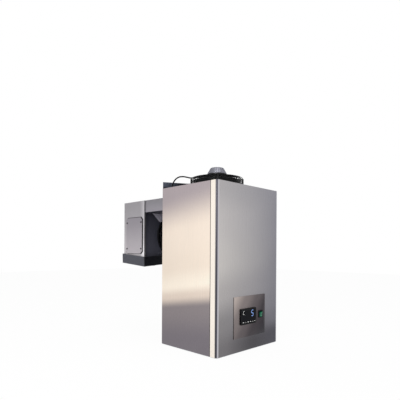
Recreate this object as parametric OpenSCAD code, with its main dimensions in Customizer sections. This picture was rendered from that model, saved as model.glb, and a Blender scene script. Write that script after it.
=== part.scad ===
// Monoblock refrigeration unit that hangs over a cold-room wall.
// X runs to the right along the front, Y runs from the front to the evaporator, Z is up.
// The origin is at floor level, in the middle of the width and of the whole depth.

/* [Cabinet] */
// Width of the cabinet
cabinet_w = 400; // [340:1:480]
// Depth of the cabinet from the front cover to the rear wall
cabinet_d = 320; // [300:1:380]
// Height of the cabinet without the fan guard
cabinet_h = 670; // [620:1:800]
// Thickness of the sheet of the cabinet and the evaporator
sheet = 1.2; // [0.8:0.1:1.6]
// Outside radius of the front cover's vertical corners
corner_r = 12; // [6:1:16]
// Depth of the front cover's side returns
cover_return = 33; // [28:1:45]
// Height of the rear wall's upstand above the cabinet top, in its middle
upstand_h = 41; // [30:1:48]

/* [Wall neck] */
// Gap for the cold-room wall, from the rear wall to the evaporator
wall_gap = 148; // [100:1:200]
// Height of the neck
neck_h = 55.5; // [50:0.5:65]
// How far the neck stands in from each side of the evaporator
neck_inset = 4; // [3:0.5:10]
// Drop from the cabinet top to the top of the neck and the evaporator
evap_drop = 36; // [34:1:50]

/* [Evaporator] */
// Width of the evaporator housing
evap_w = 374; // [350:1:420]
// Depth of the evaporator housing
evap_d = 164; // [150:1:200]
// Height from the housing's top to the tray's rim at its low corner
evap_h = 261; // [255:1:300]
// Height of the drip tray's walls
tray_h = 45; // [36:1:55]
// Slope of the drip tray along each side, in degrees
tray_slope = 4.5; // [3:0.5:5]
// Outside diameter of the evaporator fan ring
efan_ring_d = 207; // [190:1:208]
// Diameter over the evaporator fan's blades
efan_d = 172; // [150:1:174]

/* [Condenser fan] */
// Diameter of the wire guard over its side rings
guard_d = 228; // [222:1:240]
// Height of the wire guard above the cabinet top
guard_h = 52; // [48:1:60]
// Diameter over the condenser fan's blades
cfan_d = 200; // [180:1:202]
// Gap between the wire guard and the back of the cabinet
cfan_back = 20; // [16:1:30]
// Diameter of the fan motor at its widest
motor_d = 87; // [80:1:96]
// Height of the fan motor above the guard
motor_h = 43; // [38:1:48]
// Number of blades on each fan
blades = 5; // [4:1:7]

/* [Controls] */
// Width of the control plate
plate_w = 206; // [190:1:230]
// Height of the control plate
plate_h = 166; // [150:1:180]
// Height of the control plate's middle above the floor
plate_z = 138.5; // [130:0.5:160]
// Width of the controller's bezel
controller_w = 100; // [90:1:104]
// Height of the controller's bezel
controller_h = 64; // [56:1:70]
// Width of the rocker switch
rocker_w = 25; // [21:1:28]
// Height of the rocker switch
rocker_h = 30; // [26:1:34]

/* [Cooling circuit] */
// Diameter of the compressor shell
comp_d = 150; // [130:1:156]
// Height of the compressor shell
comp_h = 185; // [160:1:210]
// Outside diameter of the coil tubes
tube_d = 9.5; // [8:0.5:10]
// Distance between coil fins
fin_pitch = 7; // [6:0.5:12]

/* [Hidden] */
$fn = 64;

// A length rounded up to half a unit, so that the main planes lie at plain places
function half_up(x) = ceil(2 * x) / 2;

// Clearances and the overrun of cuts
fit = 0.3;
run = 0.05;
tip_gap = 3;
over = 1;

// Cabinet frame and flanges
flange = 12;
lip = 8;
panel_lift = 2;
pan_flange = 32;
deck_flange = 20;
seam = 2;
post_leg = 20;
post_t = 2;

// Controls, the part of them that stands in front of the cover
plate_t = 1.5;
bezel_t = 4;
rocker_bezel = 2.5;
rocker_tilt = 9;
rocker_wall = 4.7;
rocker_half = rocker_h / 2 - rocker_wall;
controls_proud = half_up(plate_t + rocker_bezel + 2 * rocker_half * sin(rocker_tilt));

// Drip tray frame
tray_side = 4;
tray_wall = 8;
tray_lean = tray_h * sin(tray_slope) + sheet + fit;
tray_twist = (tray_wall + evap_d) * pow(sin(tray_slope), 2);
tray_right = half_up(tray_lean + tray_twist);
tray_room = half_up(tray_lean);
tray_w = (evap_w + tray_side + tray_right) / cos(tray_slope);
tray_d = (tray_wall + evap_d + tray_room) / cos(tray_slope);

// Main planes along Y and Z
overall_d = controls_proud + cabinet_d + wall_gap + evap_d + tray_room;
front_y = controls_proud - overall_d / 2;
rear_y = front_y + cabinet_d;
evap_y = rear_y + wall_gap;
evap_end = evap_y + evap_d;
evap_top = cabinet_h - evap_drop;
neck_base = evap_top - neck_h;
neck_w = evap_w - 2 * neck_inset;
rim_z = evap_top - evap_h;
tray_z = rim_z - tray_h;
deck_top = cabinet_h - sheet - fit;

// Profiles and directions

// Plan outline of a box whose two front corners are rounded
module round_front(w, d, r) {
    translate([-w / 2, r]) square([w, d - r]);
    translate([r - w / 2, 0]) square([w - 2 * r, d]);
    for (side = [-1, 1]) translate([side * (w / 2 - r), r]) circle(r);
}

// Outline of a plate whose four corners are rounded
module round_plate(w, h, r) {
    square([w, h - 2 * r], center = true);
    square([w - 2 * r, h], center = true);
    for (x = [-1, 1], y = [-1, 1]) translate([x * (w / 2 - r), y * (h / 2 - r)]) circle(r);
}

// Outline of a plate whose four corners are cut at 45 degrees
module cut_plate(w, h, c) {
    polygon([[c - w / 2, -h / 2], [w / 2 - c, -h / 2], [w / 2, c - h / 2], [w / 2, h / 2 - c],
        [w / 2 - c, h / 2], [c - w / 2, h / 2], [-w / 2, h / 2 - c], [-w / 2, c - h / 2]]);
}

// Slot outline with round ends, along X
module slot(length, w) {
    square([length - w, w], center = true);
    for (side = [-1, 1]) translate([side * (length - w) / 2, 0]) circle(w / 2);
}

// Extrudes an XZ outline along +Y from y
module along_y(y, length) {
    translate([0, y + length, 0]) rotate([90, 0, 0]) linear_extrude(length) children();
}

// Extrudes a YZ outline along +X from x
module along_x(x, length) {
    translate([x, 0, 0]) rotate([90, 0, 90]) linear_extrude(length) children();
}

// Both mirror images of something drawn on the right side
module both_sides() {
    children();
    mirror([1, 0, 0]) children();
}

// The tray's own frame: its origin is the low outer corner, next to the wall on the left
module tray_frame() {
    translate([-evap_w / 2 - tray_side, evap_y - tray_wall, tray_z])
        rotate([tray_slope, -tray_slope, 0]) children();
}

// Everything below a height above the tray's bottom, for trimming what stands in the tray
module below_tray(h) {
    tray_frame() translate([-evap_w, -evap_d, h - cabinet_h])
        cube([3 * evap_w, 3 * evap_d, cabinet_h]);
}

// Straight stretches and bends of a pipe along points
function unit(v) = v / norm(v);
module bend_arc(a, b, c, d, bend) {
    u = unit(b - a);
    v = unit(c - b);
    turn = acos(u * v);
    reach = bend * tan(turn / 2);
    n = unit(v - u * (u * v));
    start = b - u * reach;
    centre = start + n * bend;
    z = cross(-n, u);
    multmatrix([[-n[0], u[0], z[0], centre[0]], [-n[1], u[1], z[1], centre[1]],
        [-n[2], u[2], z[2], centre[2]], [0, 0, 0, 1]])
        rotate_extrude(angle = turn) translate([bend, 0]) circle(d / 2);
}
module rod(a, b, d) {
    v = b - a;
    translate(a) rotate([0, acos(v[2] / norm(v)), atan2(v[1], v[0])]) cylinder(d = d, h = norm(v));
}
function bend_reach(a, b, c, bend) = bend * tan(acos(unit(b - a) * unit(c - b)) / 2);
module pipe(points, d, bend) {
    last = len(points) - 1;
    for (i = [0:last - 1]) {
        a = points[i];
        b = points[i + 1];
        trim_a = i == 0 ? 0 : bend_reach(points[i - 1], a, b, bend);
        trim_b = i == last - 1 ? 0 : bend_reach(a, b, points[i + 2], bend);
        rod(a + unit(b - a) * trim_a, b - unit(b - a) * trim_b, d);
    }
    for (i = [1:last - 1]) bend_arc(points[i - 1], points[i], points[i + 1], d, bend);
}

// Pan-head screw whose head's underside is at the origin and whose shank points down
module screw(d, length) {
    head_h = d * 0.55;
    translate([0, 0, -length]) cylinder(d = d, h = length + head_h / 2);
    cylinder(d1 = d * 1.9, d2 = d * 1.5, h = head_h);
}

// Base pan with two fields of air slots

pan_in = sheet + fit;
pan_w = cabinet_w - 2 * pan_in;
pan_d = cabinet_d - 2 * pan_in;
pan_r = corner_r - pan_in;
slot_w = 9;
slot_pitch = 19;
slot_rows = 5;
slot_length = 118;
slot_front = 42;
slot_x = 74;
pan_steel = 2;
comp_x = 62;
comp_back = 100;
comp_y = rear_y - comp_back;
comp_foot_x = 85;
comp_foot_y = 70;
bolt_d = 8;

module base_pan() {
    color("dimgray") difference() {
        translate([0, front_y + pan_in, 0]) linear_extrude(pan_flange)
            round_front(pan_w, pan_d, pan_r);
        translate([0, front_y + pan_in + pan_steel, pan_steel]) linear_extrude(pan_flange)
            round_front(pan_w - 2 * pan_steel, pan_d - 2 * pan_steel, pan_r - pan_steel);
        for (row = [0:slot_rows - 1], side = [-1, 1])
            translate([side * slot_x, front_y + slot_front + row * slot_pitch, -over])
                linear_extrude(pan_steel + 2 * over) slot(slot_length, slot_w);
        for (x = [-1, 1], y = [-1, 1])
            translate([comp_x + x * comp_foot_x, comp_y + y * comp_foot_y, -over])
                cylinder(d = bolt_d, h = pan_steel + 2 * over);
    }
}

// Front cover: one folded sheet with rounded corners, cut out for the controls

cutout_in = 5;
controller_x = -13;
rocker_x = 72;
window_z = plate_z;
flange_z0 = pan_flange + sheet;
flange_z1 = cabinet_h - deck_flange - 3 * sheet;

module front_cover() {
    color("silver") difference() {
        union() {
            translate([0, front_y, panel_lift]) linear_extrude(cabinet_h - panel_lift) difference() {
                round_front(cabinet_w, cover_return, corner_r);
                translate([0, sheet]) round_front(cabinet_w - 2 * sheet, cover_return, corner_r - sheet);
            }
            translate([corner_r - cabinet_w / 2, front_y + sheet / 2, cabinet_h - sheet])
                cube([cabinet_w - 2 * corner_r, flange, sheet]);
            both_sides() translate([cabinet_w / 2 - flange, front_y + cover_return - sheet, flange_z0])
                cube([flange - sheet / 2, sheet, flange_z1 - flange_z0]);
        }
        controls_cut(front_y - over, sheet + 2 * over);
    }
}

// The two openings behind the control plate, which the controls pass through
module controls_cut(y, depth) {
    along_y(y, depth) {
        translate([controller_x, window_z])
            square([controller_w - 2 * cutout_in, controller_h - 2 * cutout_in], center = true);
        translate([rocker_x, window_z])
            square([rocker_w - cutout_in / 2, rocker_h - cutout_in / 2], center = true);
    }
}

// Side panels: shallow folded trays from the front cover's returns to the rear wall

module side_panel() {
    y0 = front_y + cover_return + seam;
    depth = rear_y - y0;
    color("silver") difference() {
        union() {
            translate([cabinet_w / 2 - sheet, y0, panel_lift])
                cube([sheet, depth, cabinet_h - panel_lift]);
            translate([cabinet_w / 2 - flange, y0, cabinet_h - sheet])
                cube([flange - sheet / 2, depth - sheet - fit, sheet]);
            translate([cabinet_w / 2 - flange, y0, flange_z0])
                cube([flange - sheet / 2, sheet, flange_z1 - flange_z0]);
            translate([cabinet_w / 2 - flange, rear_y - 2 * sheet - fit, flange_z0])
                cube([flange - sheet / 2, sheet, flange_z1 - flange_z0]);
        }
        rear_screw_places() translate([0, 0, -flange]) cylinder(d = screw_d + fit, h = flange);
    }
}

module right_panel() side_panel();
module left_panel() mirror([1, 0, 0]) side_panel();

// Rear wall with the neck's opening, the upstand and its fixing holes

wall_w = cabinet_w - 2 * pan_in;
wall_foot = panel_lift;
opening_in = 10;
opening_w = neck_w - 2 * opening_in;
opening_h = neck_h - 2 * opening_in;
opening_z = neck_base + neck_h / 2;
fixing_r = 3.5;
fixing_x = 150;
fixing_rise = 9;
upstand_flat = 50;
upstand_fall = 12.5;
gland_r = 8;
gland_x = 150;
gland_back = 24;
rear_fold = 8;
screw_d = 4;
rear_screw_in = 6;
rear_screw_shares = [0.09, 0.35, 0.6, 0.81];

module rear_screw_places() {
    for (x = [-1, 1], share = rear_screw_shares)
        translate([x * (wall_w / 2 - rear_screw_in), rear_y, share * cabinet_h])
        rotate([-90, 0, 0]) children();
}

module rear_wall() {
    top = cabinet_h + upstand_h;
    color("slategray") difference() {
        union() {
            along_y(rear_y - sheet, sheet) polygon([[-wall_w / 2, wall_foot], [wall_w / 2, wall_foot],
                [wall_w / 2, top - upstand_fall], [upstand_flat, top], [-upstand_flat, top],
                [-wall_w / 2, top - upstand_fall]]);
            translate([-upstand_flat, rear_y - rear_fold, top - sheet])
                cube([2 * upstand_flat, rear_fold, sheet]);
        }
        along_y(rear_y - sheet - over, sheet + 2 * over) {
            translate([0, opening_z]) square([opening_w, opening_h], center = true);
            for (side = [-1, 1]) translate([side * fixing_x, cabinet_h + fixing_rise]) circle(fixing_r);
        }
        rear_screw_places() translate([0, 0, -2 * sheet]) cylinder(d = screw_d + fit, h = 4 * sheet);
    }
}

// Foam gasket that seals the neck against the cold-room wall

gasket_t = 8;
gasket_w = 18;

module wall_gasket() {
    in_w = neck_w + 2 * fit;
    in_h = neck_h + 2 * fit;
    color("dimgray") along_y(rear_y, gasket_t) translate([0, opening_z]) difference() {
        square([in_w + gasket_w, in_h + gasket_w], center = true);
        square([in_w, in_h], center = true);
    }
}

// Front posts behind the seam between the cover and the side panels

post_x = pan_w / 2 - pan_steel - fit;
post_y = front_y + cover_return + seam + sheet + fit;
post_z1 = deck_top - pan_steel;

module front_posts() {
    color("lightgray") both_sides() translate([0, 0, pan_steel])
        linear_extrude(post_z1 - pan_steel) union() {
            translate([post_x - post_leg, post_y]) square([post_leg, post_t]);
            translate([post_x - post_t, post_y]) square([post_t, post_leg]);
        }
}

// Fan deck: the cabinet's top sheet with the fan's opening

deck_w = cabinet_w - 2 * pan_in;
deck_d = cabinet_d - 2 * pan_in;
cfan_y = rear_y - cfan_back - guard_d / 2;
cring_r = cfan_d / 2 + tip_gap;
cring_t = 2;
cring_seat = 7;
deck_hole_r = cring_r + cring_t + fit;
wire_d = 3;
rib_w = 3;
rib_deep = 4;
leg_w = 7;
leg_t = 5;
leg_lap = 1;
leg_r = guard_d / 2 - leg_lap + leg_t / 2;
leg_foot_r = 6;
leg_foot_t = 3;
leg_screw_d = 4;
leg_foot_out = 9;
grommet_x = -160;
grommet_back = 16;
grommet_r = 6;

module deck_legs() {
    for (turn = [45:90:315]) translate([0, cfan_y, 0]) rotate([0, 0, turn])
        translate([leg_r + leg_foot_out, 0, 0]) children();
}

module fan_deck() {
    color("gray") difference() {
        translate([0, front_y + pan_in, deck_top - deck_flange]) linear_extrude(deck_flange)
            round_front(deck_w, deck_d, pan_r);
        translate([0, front_y + pan_in + pan_steel, deck_top - deck_flange - pan_steel])
            linear_extrude(deck_flange)
            round_front(deck_w - 2 * pan_steel, deck_d - 2 * pan_steel, pan_r - pan_steel);
        translate([0, cfan_y, deck_top - deck_flange]) cylinder(r = deck_hole_r, h = deck_flange + over);
        translate([grommet_x, rear_y - grommet_back, deck_top - deck_flange])
            cylinder(r = grommet_r, h = deck_flange + over);
        translate([gland_x, rear_y - gland_back, deck_top - deck_flange])
            cylinder(r = gland_r + fit, h = deck_flange + over);
        deck_legs() translate([0, 0, deck_top - deck_flange])
            cylinder(d = leg_screw_d + fit, h = deck_flange + over);
    }
}

// Shelf angles on the side panels that carry the condenser coil

coil_w = 330;
coil_d = 224;
coil_h = 56;
coil_front = 62;
bend_out = 6;
rail_leg = 22;
rail_z = 548;
rail_lap = 7;
rail_front = 36;
coil_end_t = 1.5;
ccoil_z = rail_z + post_t + coil_end_t;
ccoil_y = front_y + coil_front;
ccoil_tubes = 8;
ccoil_layers = 2;

module coil_rails() {
    x0 = coil_w / 2 - rail_lap;
    x1 = cabinet_w / 2 - sheet - fit;
    color("lightgray") both_sides() along_y(ccoil_y + rail_front, coil_d - rail_front) union() {
        translate([x0, rail_z]) square([x1 - x0, post_t]);
        translate([x1 - post_t, rail_z - rail_leg]) square([post_t, rail_leg + post_t]);
    }
}

// A finned coil: tubes along X, fins across them, return bends outside the end plates.
// Rows of tubes lie along Y, and each layer of rows is one serpentine.

module coil(length, depth, height, tubes, layers, fins, bend_out) {
    row = depth / tubes;
    layer = height / layers;
    fin_t = 0.5;
    end_t = coil_end_t;
    reach = length / 2;
    union() {
        for (i = [0:fins - 1])
            translate([-reach + (i + 0.5) * length / fins - fin_t / 2, 0, 0]) cube([fin_t, depth, height]);
        for (k = [0:layers - 1], j = [0:tubes - 1])
            translate([-reach - bend_out, (j + 0.5) * row, (k + 0.5) * layer])
                rotate([0, 90, 0]) cylinder(d = tube_d, h = length + 2 * bend_out);
        for (side = [-1, 1]) translate([side * reach - end_t / 2, -end_t, -end_t])
            cube([end_t, depth + 2 * end_t, height + 2 * end_t]);
        for (k = [0:layers - 1], j = [0:tubes - 2]) {
            side = j % 2 == 0 ? 1 : -1;
            translate([side * (reach + bend_out), (j + 1) * row, (k + 0.5) * layer])
                rotate([0, 0, side * -90]) rotate_extrude(angle = 180)
                translate([row / 2, 0]) circle(d = tube_d);
        }
        for (k = [0:layers - 2]) translate([-reach - bend_out, (tubes - 0.5) * row, (k + 1) * layer])
            rotate([0, 0, 90]) rotate([90, 0, 0]) rotate_extrude(angle = 180)
            translate([layer / 2, 0]) circle(d = tube_d);
    }
}

module condenser_coil() {
    color("tan") translate([0, ccoil_y, ccoil_z])
        coil(coil_w, coil_d, coil_h, ccoil_tubes, ccoil_layers, floor(coil_w / fin_pitch), bend_out);
}

// Condenser fan: ring, basket guard on four legs, motor, shaft and blades

cring_h = 42;
cring_drop = 8;

module condenser_fan_ring() {
    color("black") translate([0, cfan_y, deck_top]) rotate_extrude() union() {
        translate([cring_r, -cring_drop]) square([cring_t, cring_h + cring_drop]);
        translate([cring_r, 0]) square([cring_seat, cring_t]);
        translate([cring_r + cring_t / 2, cring_h]) circle(cring_t);
    }
}

guard_z = cabinet_h + guard_h;
guard_rings = 9;
side_rings = 3;
hub_r = motor_d / 2 - wire_d;
rib_count = 10;
crown = 5;
ring_r0 = guard_d / 2 - wire_d / 2;
hub_plate_t = 3;
shaft_d = 10;
shaft_clear = 4;

// Height that the guard's top gains towards the hub, at a radius
function guard_rise(r) = crown * (ring_r0 - r) / (ring_r0 - hub_r);

module guard_ring(r, z) {
    translate([0, 0, z]) rotate_extrude() translate([r, 0]) circle(d = wire_d);
}

module condenser_guard() {
    top = guard_z - wire_d / 2;
    low = deck_top + 3 * wire_d;
    step = (ring_r0 - hub_r) / guard_rings;
    end = hub_r - wire_d;
    color("black") translate([0, cfan_y, 0]) union() {
        for (i = [0:guard_rings - 1]) guard_ring(ring_r0 - i * step, top + guard_rise(ring_r0 - i * step));
        for (i = [1:side_rings]) guard_ring(ring_r0, top - i * guard_h / (side_rings + 1));
        for (i = [0:rib_count - 1]) rotate([0, 0, (i + 0.5) * 360 / rib_count])
            along_y(-rib_w / 2, rib_w) polygon([[ring_r0, low], [ring_r0, top], [end, top + guard_rise(end)],
                [end, top + guard_rise(end) - rib_deep], [ring_r0 - rib_deep, top - rib_deep],
                [ring_r0 - rib_deep, low]]);
        translate([0, 0, motor_foot_z - hub_plate_t]) linear_extrude(hub_plate_t) difference() {
            circle(hub_r);
            circle(d = shaft_d + 2 * shaft_clear);
        }
        for (turn = [45:90:315]) rotate([0, 0, turn]) guard_leg();
    }
}

// Flat leg with a foot that is screwed to the deck
module guard_leg() {
    translate([leg_r - leg_t / 2, -leg_w / 2, deck_top]) cube([leg_t, leg_w, guard_z - deck_top]);
    translate([0, 0, deck_top]) linear_extrude(leg_foot_t) difference() {
        union() {
            translate([leg_r, -leg_w / 2]) square([leg_foot_out, leg_w]);
            translate([leg_r + leg_foot_out, 0]) circle(leg_foot_r);
        }
        translate([leg_r + leg_foot_out, 0]) circle(d = leg_screw_d + fit);
    }
}

motor_foot_z = guard_z + guard_rise(hub_r);
motor_r = motor_d / 2;
motor_base_in = 2.5;
motor_base_r = motor_r - motor_base_in;
motor_base_h = 15;
can_shares = [[1, 0], [1, 0.07], [0.85, 0.4], [0.71, 0.79], [0.62, 0.96], [0.58, 1]];
bearing_h = 14;
cshaft_top = 16;

// Fan motor: a tapered can on a round base, bored for its shaft
module condenser_motor() {
    can_h = motor_h - motor_base_h;
    can = [for (p = can_shares) [p[0] * motor_r, motor_base_h + p[1] * can_h]];
    color("darkgray") translate([0, cfan_y, motor_foot_z]) difference() {
        union() {
            rotate_extrude() polygon(concat([[0, 0], [motor_base_r, 0], [motor_base_r, motor_base_h]],
                can, [[0, motor_h]]));
            translate([0, 0, -bearing_h])
                cylinder(r = shaft_d / 2 + shaft_clear - fit, h = bearing_h + over);
        }
        translate([0, 0, -bearing_h - over])
            cylinder(d = shaft_d + 2 * run, h = bearing_h + cshaft_top + over);
    }
}

cfan_lift = 4;
cfan_z = deck_top + cfan_lift;
hub_h = 26;
cfan_hub_r = 26;

module condenser_shaft() {
    color("silver") translate([0, cfan_y, cfan_z])
        cylinder(d = shaft_d, h = motor_foot_z + cshaft_top - fit - cfan_z);
}

// One blade from the hub to the tip, made of cambered sections that flatten towards the tip.
// Angles are from the fan's plane.
root_pitch = 38;
tip_pitch = 22;
blade_t = 1.8;
blade_steps = 6;
chord_steps = 6;
function blade_point(r, u, side, root_r, tip_r, chord0, chord1, lead) =
    let (s = (r - root_r) / (tip_r - root_r))
    let (chord = chord0 + (chord1 - chord0) * s)
    let (pitch = root_pitch + (tip_pitch - root_pitch) * s)
    let (along = (u - 0.5) * chord)
    let (camber = chord * 0.07 * (1 - pow(2 * u - 1, 2)))
    let (thick = side * blade_t / 2)
    let (tangent = along * cos(pitch) - (camber + thick) * sin(pitch))
    let (axial = along * sin(pitch) + (camber + thick) * cos(pitch))
    let (turn = tangent / r * 180 / PI + lead * s)
    [r * cos(turn), r * sin(turn), axial];

module blade(root_r, tip_r, chord0, chord1, lead) {
    stations = [for (i = [0:blade_steps]) root_r + (tip_r - root_r) * i / blade_steps];
    ring = 2 * (chord_steps + 1);
    points = [for (r = stations) each concat(
        [for (j = [0:chord_steps]) blade_point(r, j / chord_steps, 1, root_r, tip_r, chord0, chord1, lead)],
        [for (j = [0:chord_steps])
            blade_point(r, 1 - j / chord_steps, -1, root_r, tip_r, chord0, chord1, lead)])];
    sides = [for (i = [0:blade_steps - 1], j = [0:ring - 1]) each [
        [i * ring + j, (i + 1) * ring + j, (i + 1) * ring + (j + 1) % ring],
        [i * ring + j, (i + 1) * ring + (j + 1) % ring, i * ring + (j + 1) % ring]]];
    caps = [for (j = [0:chord_steps - 1]) each [
        [j, j + 1, ring - 1 - j], [j + 1, ring - 2 - j, ring - 1 - j]]];
    last = blade_steps * ring;
    tips = [for (j = [0:chord_steps - 1]) each [
        [last + j + 1, last + j, last + ring - 1 - j],
        [last + ring - 2 - j, last + j + 1, last + ring - 1 - j]]];
    faces = [for (f = concat(sides, caps, tips)) [f[2], f[1], f[0]]];
    polyhedron(points, faces, convexity = 4);
}

// Fan wheel with its hub along Z, centred on its own height
module wheel(d, hub_radius, hub_height, bore_d, chord0, chord1) {
    lead = 12;
    color("dimgray") difference() {
        union() {
            translate([0, 0, -hub_height / 2]) cylinder(r = hub_radius, h = hub_height);
            for (i = [0:blades - 1]) rotate([0, 0, i * 360 / blades])
                blade(hub_radius - blade_t, d / 2, chord0, chord1, lead);
        }
        translate([0, 0, -hub_height / 2 - over]) cylinder(d = bore_d, h = hub_height + 2 * over);
    }
}

cfan_chord0 = 34;
cfan_chord1 = 58;

module condenser_fan() {
    translate([0, cfan_y, cfan_z + hub_h / 2])
        wheel(cfan_d, cfan_hub_r, hub_h, shaft_d + 2 * run, cfan_chord0, cfan_chord1);
}

// Fan cable: from the motor over the guard, through the deck and down to the electrical box

cable_d = 6;
cable_sides = 8;
cable_steps = 2;
cable_points = [[-29.2, -99.8, 730.2], [-42, -87, 730.5], [-56, -73, 729], [-70, -59, 727], [-84, -45, 726],
    [-98, -37, 728.5], [-115, -29, 729.5], [-131, -22, 726], [-144, -16, 716], [-153, -12, 702],
    [-158, -11, 688], [-160, -11, 670], [-160, -11, 640], [-160, -11, 600], [-160, -11, 560],
    [-160, -11, 520], [-160, -11, 480], [-160, -11, 440], [-160, -11, 400], [-160, -12, 360],
    [-158, -25, 328], [-150, -60, 318], [-140, -100, 318], [-128, -140, 316], [-114, -180, 308],
    [-101, -216, 288], [-94, -232, 262], [-92, -236, 238], [-92, -236, 206]];

// A point on a smooth curve through the route's points
function route(p, t) =
    let (i = min(floor(t), len(p) - 2))
    let (f = t - i)
    let (a = p[max(i - 1, 0)])
    let (b = p[i])
    let (c = p[i + 1])
    let (d = p[min(i + 2, len(p) - 1)])
    0.5 * (2 * b + (c - a) * f + (2 * a - 5 * b + 4 * c - d) * f * f + (3 * b - a - 3 * c + d) * f * f * f);

// Two directions across a direction of travel
cross_share = [0.87, 0.31, 0.38];
function cross_axes(v) =
    let (side = unit(cross(v, cross_share)))
    [side, cross(unit(v), side)];

module tube(points, d, sides_n, steps) {
    n = (len(points) - 1) * steps;
    path = [for (i = [0:n]) route(points, i / steps)];
    rings = [for (i = [0:n])
        let (v = path[min(i + 1, n)] - path[max(i - 1, 0)])
        let (e = cross_axes(v))
        each [for (k = [0:sides_n - 1])
            path[i] + d / 2 * (cos(k * 360 / sides_n) * e[0] + sin(k * 360 / sides_n) * e[1])]];
    sides = [for (i = [0:n - 1], k = [0:sides_n - 1])
        let (a = i * sides_n + k)
        let (b = i * sides_n + (k + 1) % sides_n)
        each [[a, a + sides_n, b + sides_n], [a, b + sides_n, b]]];
    first = [for (k = [1:sides_n - 2]) [0, k, k + 1]];
    base = n * sides_n;
    last = [for (k = [1:sides_n - 2]) [base, base + k + 1, base + k]];
    polyhedron(rings, concat(sides, first, last), convexity = 6);
}

module fan_cable() {
    color("black") tube(cable_points, cable_d, cable_sides, cable_steps);
}

// Rubber grommet in the fan deck, round the cable

module deck_grommet() {
    inner = cable_d / 2 + fit;
    brim = grommet_r + 2 * sheet;
    color("black") translate([grommet_x, rear_y - grommet_back, deck_top - pan_steel / 2])
        rotate_extrude() difference() {
            translate([inner, -lip / 2]) square([brim - inner, lip]);
            translate([grommet_r - fit, -pan_steel / 2 - fit]) square([brim, pan_steel + 2 * fit]);
        }
}

// Compressor with its base plate, rubber feet, bolts and terminal cover

grommet_h = 14;
grommet_wall = 7;
foot_t = 3;
foot_z = pan_steel + grommet_h;
shell_r = 32;
seam_h = 7;
seam_share = 0.42;
comp_z = foot_z + foot_t;
comp_top = comp_z + comp_h;

module at_compressor(z) {
    translate([comp_x, comp_y, z]) children();
}

module foot_places() {
    for (x = [-1, 1], y = [-1, 1])
        at_compressor(0) translate([x * comp_foot_x, y * comp_foot_y, 0]) children();
}

module compressor() {
    r = comp_d / 2;
    color("black") at_compressor(comp_z) rotate_extrude() union() {
        square([r - shell_r, comp_h]);
        translate([0, shell_r]) square([r, comp_h - 2 * shell_r]);
        for (z = [shell_r, comp_h - shell_r]) translate([r - shell_r, z]) intersection() {
            circle(shell_r);
            translate([0, -shell_r]) square([shell_r, 2 * shell_r]);
        }
        translate([r - foot_t, comp_h * seam_share]) square([2 * foot_t, seam_h]);
    }
}

module compressor_feet() {
    tab_r = bolt_d * 1.6;
    color("black") at_compressor(foot_z) difference() {
        linear_extrude(foot_t) union() {
            for (y = [-1, 1]) translate([0, y * comp_foot_y]) slot(2 * (comp_foot_x + tab_r), 2 * tab_r);
            square([comp_foot_x, 2 * comp_foot_y], center = true);
        }
        for (x = [-1, 1], y = [-1, 1]) translate([x * comp_foot_x, y * comp_foot_y, -over])
            cylinder(d = bolt_d + 2 * fit, h = foot_t + 2 * over);
    }
}

module compressor_grommets() {
    color("dimgray") foot_places() translate([0, 0, pan_steel]) rotate_extrude() difference() {
        translate([bolt_d / 2 + fit, 0]) square([grommet_wall, grommet_h]);
        translate([bolt_d / 2 + fit + grommet_wall, grommet_h / 2]) circle(grommet_wall / 2);
    }
}

module compressor_bolts() {
    nut_d = bolt_d * 1.9;
    color("silver") foot_places() union() {
        cylinder(d = bolt_d - fit, h = comp_z + bolt_d);
        translate([0, 0, comp_z]) cylinder(d = nut_d, h = bolt_d * 0.8, $fn = 6);
    }
}

cover_w = 46;
cover_h = 52;
cover_t = 24;

module terminal_cover() {
    color("black") difference() {
        translate([0, comp_y, comp_z + comp_h / 2 + cover_t])
            along_x(comp_x - comp_d / 2 - cover_t, cover_t + lip) round_plate(cover_w, cover_h, lip);
        at_compressor(foot_z) cylinder(r = comp_d / 2 + fit, h = 2 * comp_h);
    }
}

// Filter drier and the three pipes of the cooling circuit

pipe_d = 8;
suction_d = 12;
bend = 9;
drier_r = 13;
drier_h = 90;
drier_z = 150;
drier_back = 90;
stub_share = 0.7;
stub_out = stub_share * (comp_d / 2 - shell_r - suction_d / 2);
liquid_x = -100;
suction_x = -60;
drier_y = rear_y - drier_back;
riser_y = rear_y - grommet_back;
pass_z = opening_z;
row_y = coil_d / ccoil_tubes;
layer_z = coil_h / ccoil_layers;
coil_left = -coil_w / 2 - bend_out;
header_x = coil_left - bend - sheet;
inlet = [coil_left, ccoil_y + row_y / 2, ccoil_z + layer_z * 1.5];
outlet = [coil_left, ccoil_y + row_y / 2, ccoil_z + layer_z / 2];
inlet_y = inlet[1] - 2 * bend - sheet;
discharge_rise = 40;
discharge_z = comp_top + discharge_rise;
liquid_rise = 50;
liquid_z = drier_z + drier_h + liquid_rise;
ecoil_w = 300;
ecoil_d = 60;
ecoil_h = 168;
ecoil_tubes = 6;
ecoil_layers = 2;
ecoil_drop = 44;
ecoil_back = 38;
ecoil_z = evap_top - ecoil_drop - ecoil_h;
ecoil_y = evap_end - ecoil_back - ecoil_d;
ecoil_left = -ecoil_w / 2 - bend_out;
ecoil_top = ecoil_z + ecoil_h - ecoil_h / ecoil_tubes / 2;
ecoil_head = ecoil_left - suction_d - sheet;
ecoil_wall_y = ecoil_y + ecoil_d / ecoil_layers / 2;
ecoil_room_y = ecoil_y + ecoil_d - ecoil_d / ecoil_layers / 2;

module discharge_pipe() {
    x = comp_x - stub_out;
    y = comp_y - stub_out;
    color("chocolate") pipe([[x, y, comp_top], [x, y, discharge_z], [header_x, y, discharge_z],
        [header_x, inlet_y, discharge_z], [header_x, inlet_y, inlet[2]], [header_x, inlet[1], inlet[2]],
        inlet], pipe_d, bend);
}

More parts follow.
